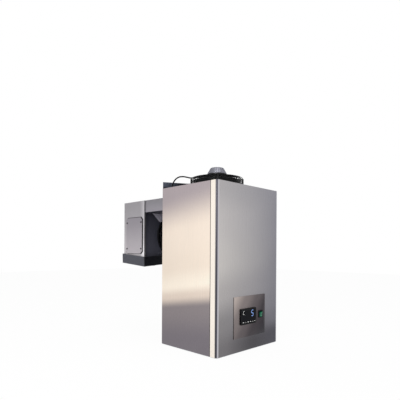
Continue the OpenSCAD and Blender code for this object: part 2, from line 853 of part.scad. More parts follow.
module liquid_pipe() {
    out = drier_z - 2 * bend;
    color("chocolate") {
        pipe([outlet, [header_x, outlet[1], outlet[2]], [header_x, outlet[1], liquid_z],
            [header_x, drier_y, liquid_z], [liquid_x, drier_y, liquid_z],
            [liquid_x, drier_y, drier_z + drier_h]], pipe_d, bend);
        pipe([[liquid_x, drier_y, drier_z], [liquid_x, drier_y, out], [liquid_x, riser_y, out],
            [liquid_x, riser_y, pass_z], [liquid_x, ecoil_wall_y, pass_z],
            [ecoil_head, ecoil_wall_y, pass_z], [ecoil_head, ecoil_wall_y, ecoil_top],
            [ecoil_left, ecoil_wall_y, ecoil_top]], pipe_d, bend);
    }
}

module suction_pipe() {
    x = comp_x - stub_out;
    y = comp_y + stub_out;
    color("chocolate") pipe([[x, y, comp_top], [x, y, discharge_z], [suction_x, y, discharge_z],
        [suction_x, riser_y, discharge_z], [suction_x, riser_y, pass_z], [suction_x, ecoil_room_y, pass_z],
        [ecoil_head, ecoil_room_y, pass_z], [ecoil_head, ecoil_room_y, ecoil_top],
        [ecoil_left, ecoil_room_y, ecoil_top]], suction_d, bend + sheet);
}

module filter_drier() {
    neck = drier_r - pipe_d / 2;
    color("chocolate") translate([liquid_x, drier_y, drier_z]) rotate_extrude()
        polygon([[0, 0], [pipe_d / 2 + sheet, 0], [drier_r, neck], [drier_r, drier_h - neck],
            [pipe_d / 2 + sheet, drier_h], [0, drier_h]]);
}

// Screws along the rear wall's edges and at the feet of the guard

module rear_screws() {
    color("silver") rear_screw_places() screw(screw_d, flange);
}

module guard_screws() {
    color("silver") deck_legs() translate([0, 0, deck_top + leg_foot_t]) screw(leg_screw_d, flange);
}

// Rails between the front posts, and the electrical box that they carry

box_w = 220;
box_h = 150;
box_d = 55;
box_z = 66;
rail_h = 20;
shelf_d = 34;
lid_t = 16;
box_wall = 2.5;
brail_y = post_y + post_t + fit;

module box_rails() {
    half = post_x - post_t - fit;
    color("lightgray") for (z = [[box_z - fit, -1], [box_z + box_h + fit, 1]]) {
        low = min(z[0], z[0] + z[1] * rail_h);
        shelf = min(z[0], z[0] + z[1] * post_t);
        union() {
            translate([-half, brail_y, low]) cube([2 * half, post_t, rail_h]);
            translate([-box_w / 2, brail_y, shelf]) cube([box_w, shelf_d, post_t]);
        }
    }
}

module electrical_box() {
    y0 = brail_y + lid_t;
    cable_end = cable_points[len(cable_points) - 1];
    color("lightgray") difference() {
        along_y(y0, box_d - lid_t) translate([0, box_z + box_h / 2]) round_plate(box_w, box_h, lip);
        along_y(y0 - over, box_d - lid_t - box_wall + over) translate([0, box_z + box_h / 2])
            round_plate(box_w - 2 * box_wall, box_h - 2 * box_wall, lip - box_wall);
        translate([cable_end[0], cable_end[1], box_z + box_h / 2])
            cylinder(d = cable_d + 2 * fit, h = box_h);
    }
}

module electrical_box_lid() {
    color("gray") difference() {
        along_y(brail_y, lid_t) translate([0, box_z + box_h / 2]) round_plate(box_w, box_h, lip);
        along_y(brail_y + box_wall, lid_t) translate([0, box_z + box_h / 2])
            round_plate(box_w - 2 * box_wall, box_h - 2 * box_wall, lip - box_wall);
    }
}

// Control plate, controller with its window, and the rocker switch

plate_r = 3;
body_depth = 33;
window_in_x = 7;
window_in_z = 8;
window_t = 1.2;
pivot_in = 8.2;
pivot_y = front_y - plate_t - rocker_bezel + pivot_in;
rocker_nose = 9.9;
rocker_dip = 1.4;
rocker_back = 4;
rocker_tail = 7.5;
side_wall = 1.5;
pivot_d = 4;
housing_depth = 20;

module control_plate() {
    color("dimgray") difference() {
        along_y(front_y - plate_t, plate_t) translate([0, plate_z]) round_plate(plate_w, plate_h, plate_r);
        controls_cut(front_y - plate_t - over, plate_t + 2 * over);
    }
}

module controller_body() {
    gap = cutout_in + fit;
    front = front_y - plate_t;
    color("black") translate([controller_x, 0, window_z]) difference() {
        union() {
            along_y(front - bezel_t, bezel_t) round_plate(controller_w, controller_h, plate_r);
            along_y(front - over, body_depth + over)
                square([controller_w - 2 * gap, controller_h - 2 * gap], center = true);
        }
        along_y(front - bezel_t - over, window_t + over)
            square([controller_w - 2 * window_in_x, controller_h - 2 * window_in_z], center = true);
    }
}

module controller_window() {
    w = controller_w - 2 * window_in_x - 2 * run;
    h = controller_h - 2 * window_in_z - 2 * run;
    color("midnightblue") translate([controller_x, 0, window_z])
        along_y(front_y - plate_t - bezel_t + fit, window_t - fit) square([w, h], center = true);
}

module rocker_housing() {
    gap = cutout_in / 4 + fit;
    front = front_y - plate_t - rocker_bezel;
    inner_w = rocker_w - 2 * gap - 2 * side_wall;
    inner_h = rocker_h - 2 * gap - 2 * side_wall;
    color("black") difference() {
        translate([rocker_x, 0, window_z]) union() {
            along_y(front, rocker_bezel) round_plate(rocker_w, rocker_h, plate_r / 2);
            along_y(front + over, rocker_bezel + housing_depth - over)
                square([rocker_w - 2 * gap, rocker_h - 2 * gap], center = true);
        }
        translate([rocker_x, 0, window_z])
            along_y(front - over, rocker_bezel + housing_depth - side_wall + over)
            square([inner_w, inner_h], center = true);
        translate([rocker_x - rocker_w, pivot_y, window_z]) rotate([0, 90, 0])
            cylinder(d = pivot_d + 2 * run, h = 2 * rocker_w);
    }
}

module switch_rocker() {
    gap = cutout_in / 4 + fit;
    w = rocker_w - 2 * gap - 2 * side_wall - 2 * fit;
    pin = rocker_w - 2 * gap - 2 * fit;
    color("limegreen") translate([rocker_x, pivot_y, window_z]) union() {
        rotate([rocker_tilt, 0, 0]) along_x(-w / 2, w)
            polygon([[-rocker_nose, -rocker_half], [rocker_dip - rocker_nose, 0],
                [-rocker_nose, rocker_half], [0, rocker_tail], [rocker_back, 0], [0, -rocker_tail]]);
        translate([-pin / 2, 0, 0]) rotate([0, 90, 0]) cylinder(d = pivot_d, h = pin);
    }
}

// Gland for the mains lead, at the rear of the deck

gland_nut_d = 24;
gland_nut_h = 5;
gland_dome_h = 14;
gland_bore = 4.5;
gland_tail = 10;

module mains_gland() {
    color("black") translate([gland_x, rear_y - gland_back, deck_top]) difference() {
        union() {
            cylinder(d = gland_nut_d, h = gland_nut_h, $fn = 6);
            cylinder(r = gland_r, h = gland_nut_h + gland_dome_h / 2);
            translate([0, 0, gland_nut_h])
                cylinder(r1 = gland_r + sheet, r2 = gland_bore + 2 * sheet, h = gland_dome_h);
            translate([0, 0, -gland_tail]) cylinder(r = gland_r, h = gland_tail + over);
            translate([0, 0, -pan_steel - gland_nut_h]) cylinder(d = gland_nut_d, h = gland_nut_h, $fn = 6);
        }
        translate([0, 0, -gland_tail - over]) cylinder(r = gland_bore, h = gland_tail + 2 * gland_dome_h);
    }
}

// Wall neck: cover, floor that seats on the wall, and insulating core

module neck_cover() {
    color("gainsboro") along_y(rear_y + fit, wall_gap - 2 * fit) difference() {
        translate([-neck_w / 2, neck_base + sheet]) square([neck_w, neck_h - sheet]);
        translate([sheet - neck_w / 2, neck_base]) square([neck_w - 2 * sheet, neck_h - sheet]);
    }
}

module neck_floor() {
    y0 = rear_y + gasket_t + fit;
    color("dimgray") translate([-neck_w / 2, y0, neck_base]) cube([neck_w, evap_y - fit - y0, sheet]);
}

module pipe_passages(y, length, clearance) {
    along_y(y, length) {
        translate([liquid_x, pass_z]) circle(d = pipe_d + 2 * clearance);
        translate([suction_x, pass_z]) circle(d = suction_d + 2 * clearance);
    }
}

module neck_core() {
    low = neck_base + sheet + fit;
    high = evap_top - sheet - fit;
    color("khaki") difference() {
        translate([sheet + fit - neck_w / 2, rear_y + fit, low])
            cube([neck_w - 2 * sheet - 2 * fit, wall_gap - 2 * fit, high - low]);
        pipe_passages(rear_y, wall_gap, fit);
    }
}

// Evaporator housing: a folded cover with turned-in ends and an access opening on the left

rim_lap = 10;
access_w = 127;
access_h = 170;
access_cut = 12;
access_in = 14;
access_y = 79;
access_drop = 161;
access_rise = 3;
access_screw_in = 7;
access_screw_z = 62;
grille_low = 46;

module access_place() {
    translate([0, evap_y + access_y, evap_top - access_drop]) children();
}

module access_screw_places() {
    access_place() for (y = [-1, 1], z = [-1, 1])
        translate([-evap_w / 2, y * (access_w / 2 - access_screw_in), z * access_screw_z])
        rotate([0, -90, 0]) children();
}

module tray_screw_places() {
    side = 14;
    tray_frame() {
        for (x = [side, tray_w - side])
            translate([x, 0, tray_h - rim_lap * 0.6]) rotate([90, 0, 0]) children();
        for (x = [2 * side, tray_w - 2 * side])
            translate([x, tray_d, tray_h - rim_lap * 0.6]) rotate([-90, 0, 0]) children();
    }
}

module evap_housing() {
    inner_w = evap_w - 2 * sheet;
    body_h = evap_top - tray_z;
    color("silver") difference() {
        union() {
            along_y(evap_y, evap_d) difference() {
                translate([-evap_w / 2, tray_z]) square([evap_w, body_h]);
                translate([-inner_w / 2, tray_z - over]) square([inner_w, body_h - sheet + over]);
            }
            along_y(evap_y, sheet) difference() {
                translate([-evap_w / 2, tray_z]) square([evap_w, body_h]);
                translate([lip - evap_w / 2, tray_z - over])
                    square([evap_w - 2 * lip, body_h - lip + over]);
            }
            along_y(evap_end - sheet, sheet) difference() {
                translate([-evap_w / 2, tray_z]) square([evap_w, body_h]);
                translate([lip - evap_w / 2, rim_z + grille_low])
                    square([evap_w - 2 * lip, body_h - tray_h - grille_low - lip]);
            }
        }
        below_tray(tray_h - rim_lap);
        access_place() along_x(-evap_w / 2 - over, sheet + 2 * over)
            round_plate(access_w - 2 * access_in, access_h - 2 * access_in, access_cut);
        access_screw_places() translate([0, 0, -flange]) cylinder(d = screw_d + fit, h = 2 * flange);
        tray_screw_places() translate([0, 0, -2 * flange]) cylinder(d = screw_d + 2 * fit, h = 2 * flange);
    }
}

module evap_access_cover() {
    color("gainsboro") difference() {
        access_place() along_x(-evap_w / 2 - access_rise, access_rise)
            cut_plate(access_w, access_h, access_cut);
        access_place() along_x(-evap_w / 2 - access_rise + sheet, access_rise)
            cut_plate(access_w - 2 * sheet, access_h - 2 * sheet, access_cut);
        access_screw_places() cylinder(d = screw_d + fit, h = flange);
    }
}

module access_screws() {
    color("dimgray") access_screw_places() translate([0, 0, access_rise]) screw(screw_d, flange);
}

// Dark fan plate in the wall side of the evaporator, and the lighter apron below the neck

ering_r = efan_ring_d / 2;
ering_in = efan_d / 2 + tip_gap;
ering_t = 2;
ering_drop = 160;
ering_z = evap_top - ering_drop;
plate_back = 12;
eplate_y = evap_y + plate_back;
eplate_low = 6;
apron_top_w = 290;
apron_low_w = 173;
apron_h = 50;
apron_up = 12;

module at_efan(y) {
    translate([0, y, ering_z]) rotate([-90, 0, 0]) children();
}

module evap_fan_plate() {
    half = evap_w / 2 - sheet - fit;
    high = evap_top - sheet - fit;
    color("dimgray") difference() {
        union() {
            translate([-half, eplate_y, tray_z]) cube([2 * half, sheet, high - tray_z]);
            for (x = [-half, half - sheet]) translate([x, evap_y + sheet + fit, tray_z])
                cube([sheet, plate_back - fit, high - tray_z]);
        }
        below_tray(eplate_low);
        at_efan(eplate_y - over) cylinder(r = ering_in + ering_t + fit, h = sheet + 2 * over);
        pipe_passages(eplate_y - over, sheet + 2 * over, fit);
        tray_screw_places() translate([0, 0, -2 * flange]) cylinder(d = screw_d + 2 * fit, h = 2 * flange);
    }
}

module evap_apron() {
    top = neck_base + apron_up;
    color("lightgray") difference() {
        along_y(eplate_y - sheet, sheet) polygon([[-apron_top_w / 2, top], [apron_top_w / 2, top],
            [apron_low_w / 2, top - apron_h], [-apron_low_w / 2, top - apron_h]]);
        at_efan(evap_y) cylinder(r = ering_r + fit, h = evap_d);
        pipe_passages(evap_y, evap_d, fit);
    }
}

// Evaporator fan: ring, guard, motor on its bracket, shaft and blades

ering_depth = 26;
rim_r = 3;
eguard_rings = 5;
eguard_r0 = 26;
eguard_wire = 3;
eguard_ribs = 8;
efan_in = 28;
efan_y = evap_y + efan_in;
efan_hub_r = 22;
efan_hub_h = 20;
efan_chord0 = 30;
efan_chord1 = 46;
eshaft_d = 8;
emotor_in = 44;
emotor_y = evap_y + emotor_in;
emotor_r = 33;
emotor_h = 20;
emotor_nose = 4;
arm_d = 5;
arm_out = 3;
arm_r = ering_in + ering_t + arm_d / 2 + arm_out;

module evap_fan_ring() {
    color("black") at_efan(eplate_y) rotate_extrude() union() {
        translate([ering_in, -ering_t]) square([ering_t, ering_depth]);
        translate([ering_in, -ering_t]) square([ering_r - ering_in - rim_r, ering_t]);
        translate([ering_r - rim_r, -rim_r]) circle(rim_r);
    }
}

module evap_guard() {
    step = (ering_in - eguard_r0) / eguard_rings;
    bar = [ering_in + ering_t + lip - eguard_r0, eguard_wire, eguard_wire];
    color("black") at_efan(eplate_y - ering_t - eguard_wire) union() {
        for (i = [0:eguard_rings]) rotate_extrude() translate([eguard_r0 + i * step, 0])
            circle(d = eguard_wire);
        for (i = [0:eguard_ribs - 1]) rotate([0, 0, (i + 0.5) * 360 / eguard_ribs])
            translate([eguard_r0 - eguard_wire, -eguard_wire / 2, 0]) cube(bar);
    }
}

module evap_motor() {
    color("black") difference() {
        union() {
            at_efan(emotor_y) cylinder(r = emotor_r, h = emotor_h);
            at_efan(emotor_y - emotor_nose) cylinder(d = eshaft_d * 2, h = emotor_nose + over);
        }
        at_efan(emotor_y - emotor_nose - over)
            cylinder(d = eshaft_d + 2 * run, h = emotor_nose + emotor_h * 0.8 + over);
    }
}

module evap_bracket() {
    y = emotor_y + emotor_h / 4;
    color("gray") at_efan(0) difference() {
        union() for (turn = [45:90:315]) rotate([0, 0, turn]) {
            rod([emotor_r - arm_d, 0, y], [arm_r, 0, y], arm_d);
            rod([arm_r, 0, y + arm_d / 2], [arm_r, 0, eplate_y + sheet], arm_d);
        }
        translate([0, 0, emotor_y - over]) cylinder(r = emotor_r, h = emotor_h + 2 * over);
    }
}

module evap_shaft() {
    front = efan_y - efan_hub_h / 2;
    color("silver") at_efan(front) cylinder(d = eshaft_d, h = emotor_y + emotor_h * 0.8 - fit - front);
}

module evap_fan() {
    at_efan(efan_y) wheel(efan_d, efan_hub_r, efan_hub_h, eshaft_d + 2 * run, efan_chord0, efan_chord1);
}

// Evaporator coil on its straps, and the air grille on the room side

strap_w = 12;
strap_y = 24;
strap_lap = 8;

module evap_coil() {
    color("silver") translate([0, ecoil_y + ecoil_d, ecoil_z + ecoil_h]) rotate([90, 0, 0]) mirror([0, 1, 0])
        coil(ecoil_w, ecoil_h, ecoil_d, ecoil_tubes, ecoil_layers, floor(ecoil_w / fin_pitch), bend_out);
}

module coil_straps() {
    x0 = ecoil_w / 2 + coil_end_t / 2 + fit;
    low = ecoil_z + ecoil_h + coil_end_t - strap_lap;
    high = evap_top - sheet - fit;
    color("lightgray") both_sides() union() {
        translate([x0, ecoil_y + strap_y, low]) cube([sheet, strap_w, high - low]);
        translate([x0, ecoil_y + strap_y, high - sheet]) cube([flange, strap_w, sheet]);
    }
}

grille_d = 12;
grille_bar = 12;
slat_pitch = 17;
slat_t = 2;
slat_lean = 9;

module outlet_grille() {
    y = evap_end - sheet - fit - grille_d;
    w = evap_w - 2 * sheet - 2 * fit;
    low = rim_z + grille_low - fit;
    high = evap_top - sheet - fit;
    slats = floor((high - low - 2 * grille_bar) / slat_pitch);
    color("gainsboro") union() {
        along_y(y, grille_d) difference() {
            translate([-w / 2, low]) square([w, high - low]);
            translate([grille_bar - w / 2, low + grille_bar])
                square([w - 2 * grille_bar, high - low - 2 * grille_bar]);
        }
        for (i = [0:slats - 1]) translate([0, y, low + grille_bar + (i + 0.3) * slat_pitch])
            along_x(grille_bar / 2 - w / 2, w - grille_bar)
            polygon([[0, slat_lean], [grille_d, 0], [grille_d, slat_t], [0, slat_lean + slat_t]]);
    }
}

// Drip tray with its drain spout and screws

spout_x = 110;
spout_y = 80;
spout_r = 10;
spout_bore = 7.5;
spout_l = 12;
spout_brim = 4;
spout_collar = 2;
spout_neck_r = spout_r - fit;

module drip_tray() {
    color("slategray") difference() {
        tray_frame() difference() {
            cube([tray_w, tray_d, tray_h]);
            translate([sheet, sheet, sheet]) cube([tray_w - 2 * sheet, tray_d - 2 * sheet, tray_h]);
            translate([spout_x, spout_y, -over]) cylinder(r = spout_neck_r + fit, h = sheet + 2 * over);
        }
        tray_screw_places() translate([0, 0, -2 * sheet]) cylinder(d = screw_d + fit, h = 3 * sheet);
    }
}

// Spout for a hose, with a collar below the tray's bottom and a brim above it
module drain_spout() {
    low = -fit - spout_collar;
    color("dimgray") tray_frame() translate([spout_x, spout_y, 0]) difference() {
        union() {
            translate([0, 0, low - spout_l]) cylinder(r = spout_r, h = spout_l);
            translate([0, 0, low]) cylinder(r = spout_r + spout_brim, h = spout_collar);
            translate([0, 0, low]) cylinder(r = spout_neck_r, h = 2 * sheet - low);
            translate([0, 0, sheet]) cylinder(r = spout_r + spout_brim, h = sheet);
        }
        translate([0, 0, low - spout_l - over])
            cylinder(r = spout_bore, h = spout_l - low + 2 * sheet + 2 * over);
    }
}

module tray_screws() {
    color("silver") tray_screw_places() screw(screw_d, flange);
}

base_pan();
front_cover();
left_panel();
right_panel();
rear_wall();
wall_gasket();
front_posts();
fan_deck();
coil_rails();
condenser_coil();
condenser_fan_ring();
condenser_guard();
guard_screws();
condenser_motor();
condenser_shaft();
condenser_fan();
fan_cable();
deck_grommet();
compressor();
compressor_feet();
compressor_grommets();
compressor_bolts();
terminal_cover();
discharge_pipe();
liquid_pipe();
suction_pipe();
filter_drier();
box_rails();
electrical_box();
electrical_box_lid();
control_plate();
controller_body();
controller_window();
rocker_housing();
switch_rocker();
mains_gland();
rear_screws();
neck_cover();
neck_floor();
neck_core();
evap_housing();
evap_access_cover();
access_screws();
evap_fan_plate();
evap_apron();
evap_fan_ring();
evap_guard();
evap_motor();
evap_bracket();
evap_shaft();
evap_fan();
evap_coil();
coil_straps();
outlet_grille();
drip_tray();
tray_screws();
drain_spout();
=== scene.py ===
"""Looks of the monoblock refrigeration unit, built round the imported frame."""

import math

import bmesh
import bpy
from mathutils import Matrix, Vector


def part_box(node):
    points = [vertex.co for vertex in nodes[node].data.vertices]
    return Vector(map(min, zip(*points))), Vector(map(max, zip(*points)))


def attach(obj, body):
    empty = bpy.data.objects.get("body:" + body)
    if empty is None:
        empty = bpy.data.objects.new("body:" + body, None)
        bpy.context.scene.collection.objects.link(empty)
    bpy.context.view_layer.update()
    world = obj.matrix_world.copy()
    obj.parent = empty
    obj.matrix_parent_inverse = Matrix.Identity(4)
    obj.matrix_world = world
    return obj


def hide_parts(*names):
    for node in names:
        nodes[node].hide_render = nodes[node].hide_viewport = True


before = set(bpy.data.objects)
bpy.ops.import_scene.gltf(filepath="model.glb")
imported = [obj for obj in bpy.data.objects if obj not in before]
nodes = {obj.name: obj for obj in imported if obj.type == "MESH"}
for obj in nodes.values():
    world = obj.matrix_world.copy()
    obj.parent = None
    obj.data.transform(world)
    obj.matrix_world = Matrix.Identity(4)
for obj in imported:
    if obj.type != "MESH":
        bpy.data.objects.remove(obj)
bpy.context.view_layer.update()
scene = bpy.context.scene
mm = 0.001


# Camera

camera_place = Vector((-1227.8, -1258.4, 401.7)) * mm
camera_turn = math.radians(44.86)
camera_roll = math.radians(0.336)
camera_lens = 33.76
camera_shift = 0.1275
camera_near = 0.05


def make_camera():
    """The photograph's camera, solved from the edges of the cabinet."""
    data = bpy.data.cameras.new("camera")
    data.lens = camera_lens
    data.shift_y = camera_shift
    data.clip_start = camera_near
    camera = bpy.data.objects.new("camera", data)
    turn = Matrix.Rotation(-camera_turn, 4, "Z") @ Matrix.Rotation(math.pi / 2, 4, "X")
    roll = Matrix.Rotation(camera_roll, 4, "Z")
    camera.matrix_world = Matrix.Translation(camera_place) @ turn @ roll
    scene.collection.objects.link(camera)
    scene.camera = camera


make_camera()


def middle(node):
    """Centre of a CAD node's box."""
    low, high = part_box(node)
    return (low + high) / 2


# Colours

def tone(red, green, blue):
    """A screen colour, each part from 0 to 255, as the linear colour that a shader takes."""
    parts = [value / 255 for value in (red, green, blue)]
    return tuple(v / 12.92 if v <= 0.04045 else ((v + 0.055) / 1.055) ** 2.4 for v in parts)


# Effects that several finishes share, as node groups

def new_effect(name, outputs, **inputs):
    """A node group with vector and float inputs and float outputs, and its two end nodes."""
    tree = bpy.data.node_groups.new(name, "ShaderNodeTree")
    for label, default in inputs.items():
        kind = "NodeSocketVector" if isinstance(default, tuple) else "NodeSocketFloat"
        socket = tree.interface.new_socket(name=label, in_out="INPUT", socket_type=kind)
        socket.default_value = default
    for label in outputs:
        tree.interface.new_socket(name=label, in_out="OUTPUT", socket_type="NodeSocketFloat")
    return tree, tree.nodes.new("NodeGroupInput").outputs, tree.nodes.new("NodeGroupOutput").inputs


def add(tree, kind, **settings):
    """A node of a tree, with its properties set."""
    node = tree.nodes.new("ShaderNode" + kind)
    for label, value in settings.items():
        setattr(node, label, value)
    return node


def feed(tree, value, socket):
    """Gives an input either a link or a plain value."""
    if isinstance(value, bpy.types.NodeSocket):
        tree.links.new(value, socket)
    else:
        socket.default_value = value


def spread(tree, source, low, high, start=0.0, end=1.0):
    """A value that runs from low to high while its source runs from start to end."""
    node = add(tree, "MapRange")
    ends = {"Value": source, "From Min": start, "From Max": end, "To Min": low, "To Max": high}
    for label, value in ends.items():
        feed(tree, value, node.inputs[label])
    return node.outputs["Result"]


def combine(tree, operation, first, second=0.0):
    """A math node of two values."""
    node = add(tree, "Math", operation=operation)
    for socket, value in zip(node.inputs, (first, second)):
        feed(tree, value, socket)
    return node.outputs[0]


noise_gain = 4.0  # noise swings by about a quarter, so this brings it to its full depth
crystal_gain = 2.0


def noise(tree, place, scale, detail, roughness=0.5):
    """Noise between 0 and 1 at a place."""
    node = add(tree, "TexNoise")
    values = {"Vector": place, "Scale": scale, "Detail": detail, "Roughness": roughness}
    for label, value in values.items():
        feed(tree, value, node.inputs[label])
    return node.outputs["Fac"]


def swing(tree, source):
    """A value from 0 to 1 as one that swings round 0."""
    return combine(tree, "SUBTRACT", source, 0.5)


def give(tree, given, result, shade_swing, gain, rough_swing, rough_gain):
    """Sends out a shade round 1 and a roughness round the one given."""
    depth = combine(tree, "MULTIPLY", given["Depth"], gain)
    shade = combine(tree, "ADD", combine(tree, "MULTIPLY", shade_swing, depth), 1.0)
    rough = combine(tree, "MULTIPLY", rough_swing, rough_gain)
    feed(tree, shade, result["Shade"])
    feed(tree, combine(tree, "ADD", rough, given["Roughness"]), result["Roughness"])


def grain_effect():
    """Brushed lines that run along the axis where Stretch is small."""
    tree, given, result = new_effect(
        "brushed_grain", ("Shade", "Roughness", "Height"), Place=(0, 0, 0), Stretch=(900, 900, 6),
        Depth=0.06, Roughness=0.3)
    scaled = add(tree, "VectorMath", operation="MULTIPLY")
    feed(tree, given["Place"], scaled.inputs[0])
    feed(tree, given["Stretch"], scaled.inputs[1])
    lines = noise(tree, scaled.outputs[0], 1.0, detail=3.0, roughness=0.65)
    swings = swing(tree, lines)
    give(tree, given, result, swings, noise_gain, swings, rough_gain=0.35)
    feed(tree, lines, result["Height"])
    return tree


def cloud_effect():
    """Soft patches, such as handling marks and uneven paint."""
    tree, given, result = new_effect(
        "soft_patches", ("Shade", "Roughness"), Place=(0, 0, 0), Size=0.12, Depth=0.05, Roughness=0.4)
    scale = combine(tree, "DIVIDE", 1.0, given["Size"])
    swings = swing(tree, noise(tree, given["Place"], scale, detail=2.0))
    give(tree, given, result, swings, noise_gain, swings, rough_gain=0.3)
    return tree


def spangle_effect():
    """Crystal patches of hot-dip galvanised sheet."""
    tree, given, result = new_effect(
        "zinc_spangle", ("Shade", "Roughness"), Place=(0, 0, 0), Size=0.012, Depth=0.12, Roughness=0.38)
    crystals = add(tree, "TexVoronoi")
    feed(tree, given["Place"], crystals.inputs["Vector"])
    feed(tree, combine(tree, "DIVIDE", 1.0, given["Size"]), crystals.inputs["Scale"])
    parts = add(tree, "SeparateColor")
    feed(tree, crystals.outputs["Color"], parts.inputs["Color"])
    red, green = swing(tree, parts.outputs["Red"]), swing(tree, parts.outputs["Green"])
    give(tree, given, result, red, crystal_gain, green, rough_gain=0.2)
    return tree


def stipple_effect():
    """Fine pebbled skin of powder coat, moulded plastic, rubber and foam."""
    tree, given, result = new_effect(
        "fine_stipple", ("Shade", "Roughness", "Height"), Place=(0, 0, 0), Size=0.002, Depth=0.1,
        Roughness=0.5)
    scale = combine(tree, "DIVIDE", 1.0, given["Size"])
    grains = noise(tree, given["Place"], scale, detail=2.0, roughness=0.6)
    swings = swing(tree, grains)
    give(tree, given, result, swings, noise_gain, swings, rough_gain=0.4)
    feed(tree, grains, result["Height"])
    return tree


brushed_grain = grain_effect()
soft_patches = cloud_effect()
zinc_spangle = spangle_effect()
fine_stipple = stipple_effect()


class Finish:
    """One material, with short calls for the nodes that it is made of."""

    def __init__(self, name, metallic=0.0, roughness=0.5, **sockets):
        self.material = bpy.data.materials.new(name)
        self.material.use_nodes = True
        self.tree = self.material.node_tree
        self.shader = self.tree.nodes["Principled BSDF"]
        self.shader.inputs["Metallic"].default_value = metallic
        self.shader.inputs["Roughness"].default_value = roughness
        for label, value in sockets.items():
            self.shader.inputs[label.replace("_", " ")].default_value = value
        self.place = add(self.tree, "TexCoord").outputs["Object"]

    def along(self, direction):
        """Distance of a point along a direction, from the origin."""
        node = add(self.tree, "VectorMath", operation="DOT_PRODUCT")
        node.inputs[1].default_value = direction
        feed(self.tree, self.place, node.inputs[0])
        return node.outputs["Value"]

    def fade(self, direction, low, high, start, end):
        """A value that runs from low to high between two distances along a direction."""
        return spread(self.tree, self.along(direction), low, high, start, end)

    def ramp(self, source, start, end, stops):
        """A colour that follows stops, given as (value between start and end, colour)."""
        node = add(self.tree, "ValToRGB")
        node.color_ramp.interpolation = "EASE"
        share = spread(self.tree, source, 0.0, 1.0, start, end)
        elements = node.color_ramp.elements
        while len(elements) < len(stops):
            elements.new(0.5)
        for element, (value, colour) in zip(elements, sorted(stops)):
            element.position = (value - start) / (end - start)
            element.color = (*colour, 1)
        feed(self.tree, share, node.inputs["Fac"])
        return node.outputs["Color"]

    def shaded(self, colour, *shades):
        """A colour, as a socket or three numbers, multiplied by each of the shades."""
        for shade in shades:
            node = add(self.tree, "VectorMath", operation="MULTIPLY")
            feed(self.tree, colour, node.inputs[0])
            feed(self.tree, shade, node.inputs[1])
            colour = node.outputs[0]
        return colour

    def mixed(self, share, first, second):
        """Two colours mixed by a share."""
        node = add(self.tree, "Mix", data_type="RGBA")
        sockets = [s for s in node.inputs if s.type == "RGBA"]
        feed(self.tree, share, node.inputs["Factor"])
        for socket, colour in zip(sockets, (first, second)):
            feed(self.tree, (*colour, 1) if isinstance(colour, tuple) else colour, socket)
        return [s for s in node.outputs if s.type == "RGBA"][0]

    def effect(self, group, **values):
        """A shared effect, fed with Object coordinates and its own values."""
        node = self.tree.nodes.new("ShaderNodeGroup")
        node.node_tree = group
        feed(self.tree, self.place, node.inputs["Place"])
        for label, value in values.items():
            node.inputs[label].default_value = value
        return node.outputs

    def bump(self, height, strength, distance):
        """Small relief from a height."""
        node = add(self.tree, "Bump")
        for label, value in (("Strength", strength), ("Distance", distance), ("Height", height)):
            feed(self.tree, value, node.inputs[label])
        feed(self.tree, node.outputs["Normal"], self.shader.inputs["Normal"])

    def done(self, colour, roughness):
        """The finished material, with its colour and roughness joined."""
        feed(self.tree, colour, self.shader.inputs["Base Color"])
        feed(self.tree, roughness, self.shader.inputs["Roughness"])
        return self.material


# Stainless sheet of the cabinet

brush_stretch = (700, 700, 5)


def steel(name, colour):
    """Brushed stainless sheet whose colour, painted reflections and shade included, is a function of the
    finish itself.
    """
    roughness = 0.32
    finish = Finish(name, metallic=1.0, roughness=roughness)
    lines = finish.effect(brushed_grain, Stretch=brush_stretch, Depth=0.03, Roughness=roughness)
    patches = finish.effect(soft_patches, Size=0.16, Depth=0.02, Roughness=roughness)
    finish.bump(lines["Height"], strength=0.12, distance=0.0002)
    return finish.done(finish.shaded(colour(finish), lines["Shade"], patches["Shade"]), lines["Roughness"])


cabinet_foot = 0.0
cabinet_top = 0.7
panel_low, panel_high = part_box("left_panel")
# A side panel's tones are painted reflections in bands that slope a little along it, and they fall off a
# little from front to back.
side_slope = 0.145
side_reflection_front = 1.04
side_reflection_back = 0.94
side_reflection_stops = [
    (0.02, tone(124, 118, 124)), (0.152, tone(142, 134, 136)), (0.2, tone(228, 212, 198)),
    (0.243, tone(254, 242, 226)), (0.32, tone(244, 229, 213)), (0.46, tone(246, 231, 216)),
    (0.625, tone(176, 165, 168))]
# Painted shade: a side panel's seam edge, the evaporator housing's front edge and the drip tray's front
# face darken to this share.
edge_shade = 0.16
seam_start = 0.0003
seam_end = 0.0012


def side_colour(finish):
    """Painted reflection on a side panel: warm bright middle, greyer top and dark foot, with painted shade
    as a dark edge at the seam.
    """
    body = finish.ramp(finish.along((0, side_slope, 1)), cabinet_foot, cabinet_top, side_reflection_stops)
    depth = finish.along((0, 1, 0))
    fade = spread(finish.tree, depth, side_reflection_front, side_reflection_back, panel_low.y, panel_high.y)
    edge = spread(finish.tree, depth, edge_shade, 1.0, panel_low.y + seam_start, panel_low.y + seam_end)
    return finish.shaded(body, fade, edge)


# The front cover's tones are painted reflections in bands that slope a little across it.
front_slope = -0.1
front_left_reflection = [
    (0.045, tone(120, 117, 119)), (0.14, tone(138, 135, 136)), (0.255, tone(176, 172, 171)),
    (0.37, tone(197, 193, 190)), (0.54, tone(192, 188, 187)), (0.66, tone(176, 173, 174))]
front_right_reflection = [
    (0.03, tone(74, 73, 82)), (0.1, tone(111, 110, 118)), (0.165, tone(123, 122, 130)),
    (0.3, tone(126, 125, 133)), (0.5, tone(133, 132, 140)), (0.65, tone(137, 136, 144))]
# Painted shadow at the foot of the front cover, darkest round this place.
foot_shade_place = (0.02, -0.315, 0.03)
foot_shade_core = 0.02
foot_shade_reach = 0.16
foot_shade_depth = 0.62
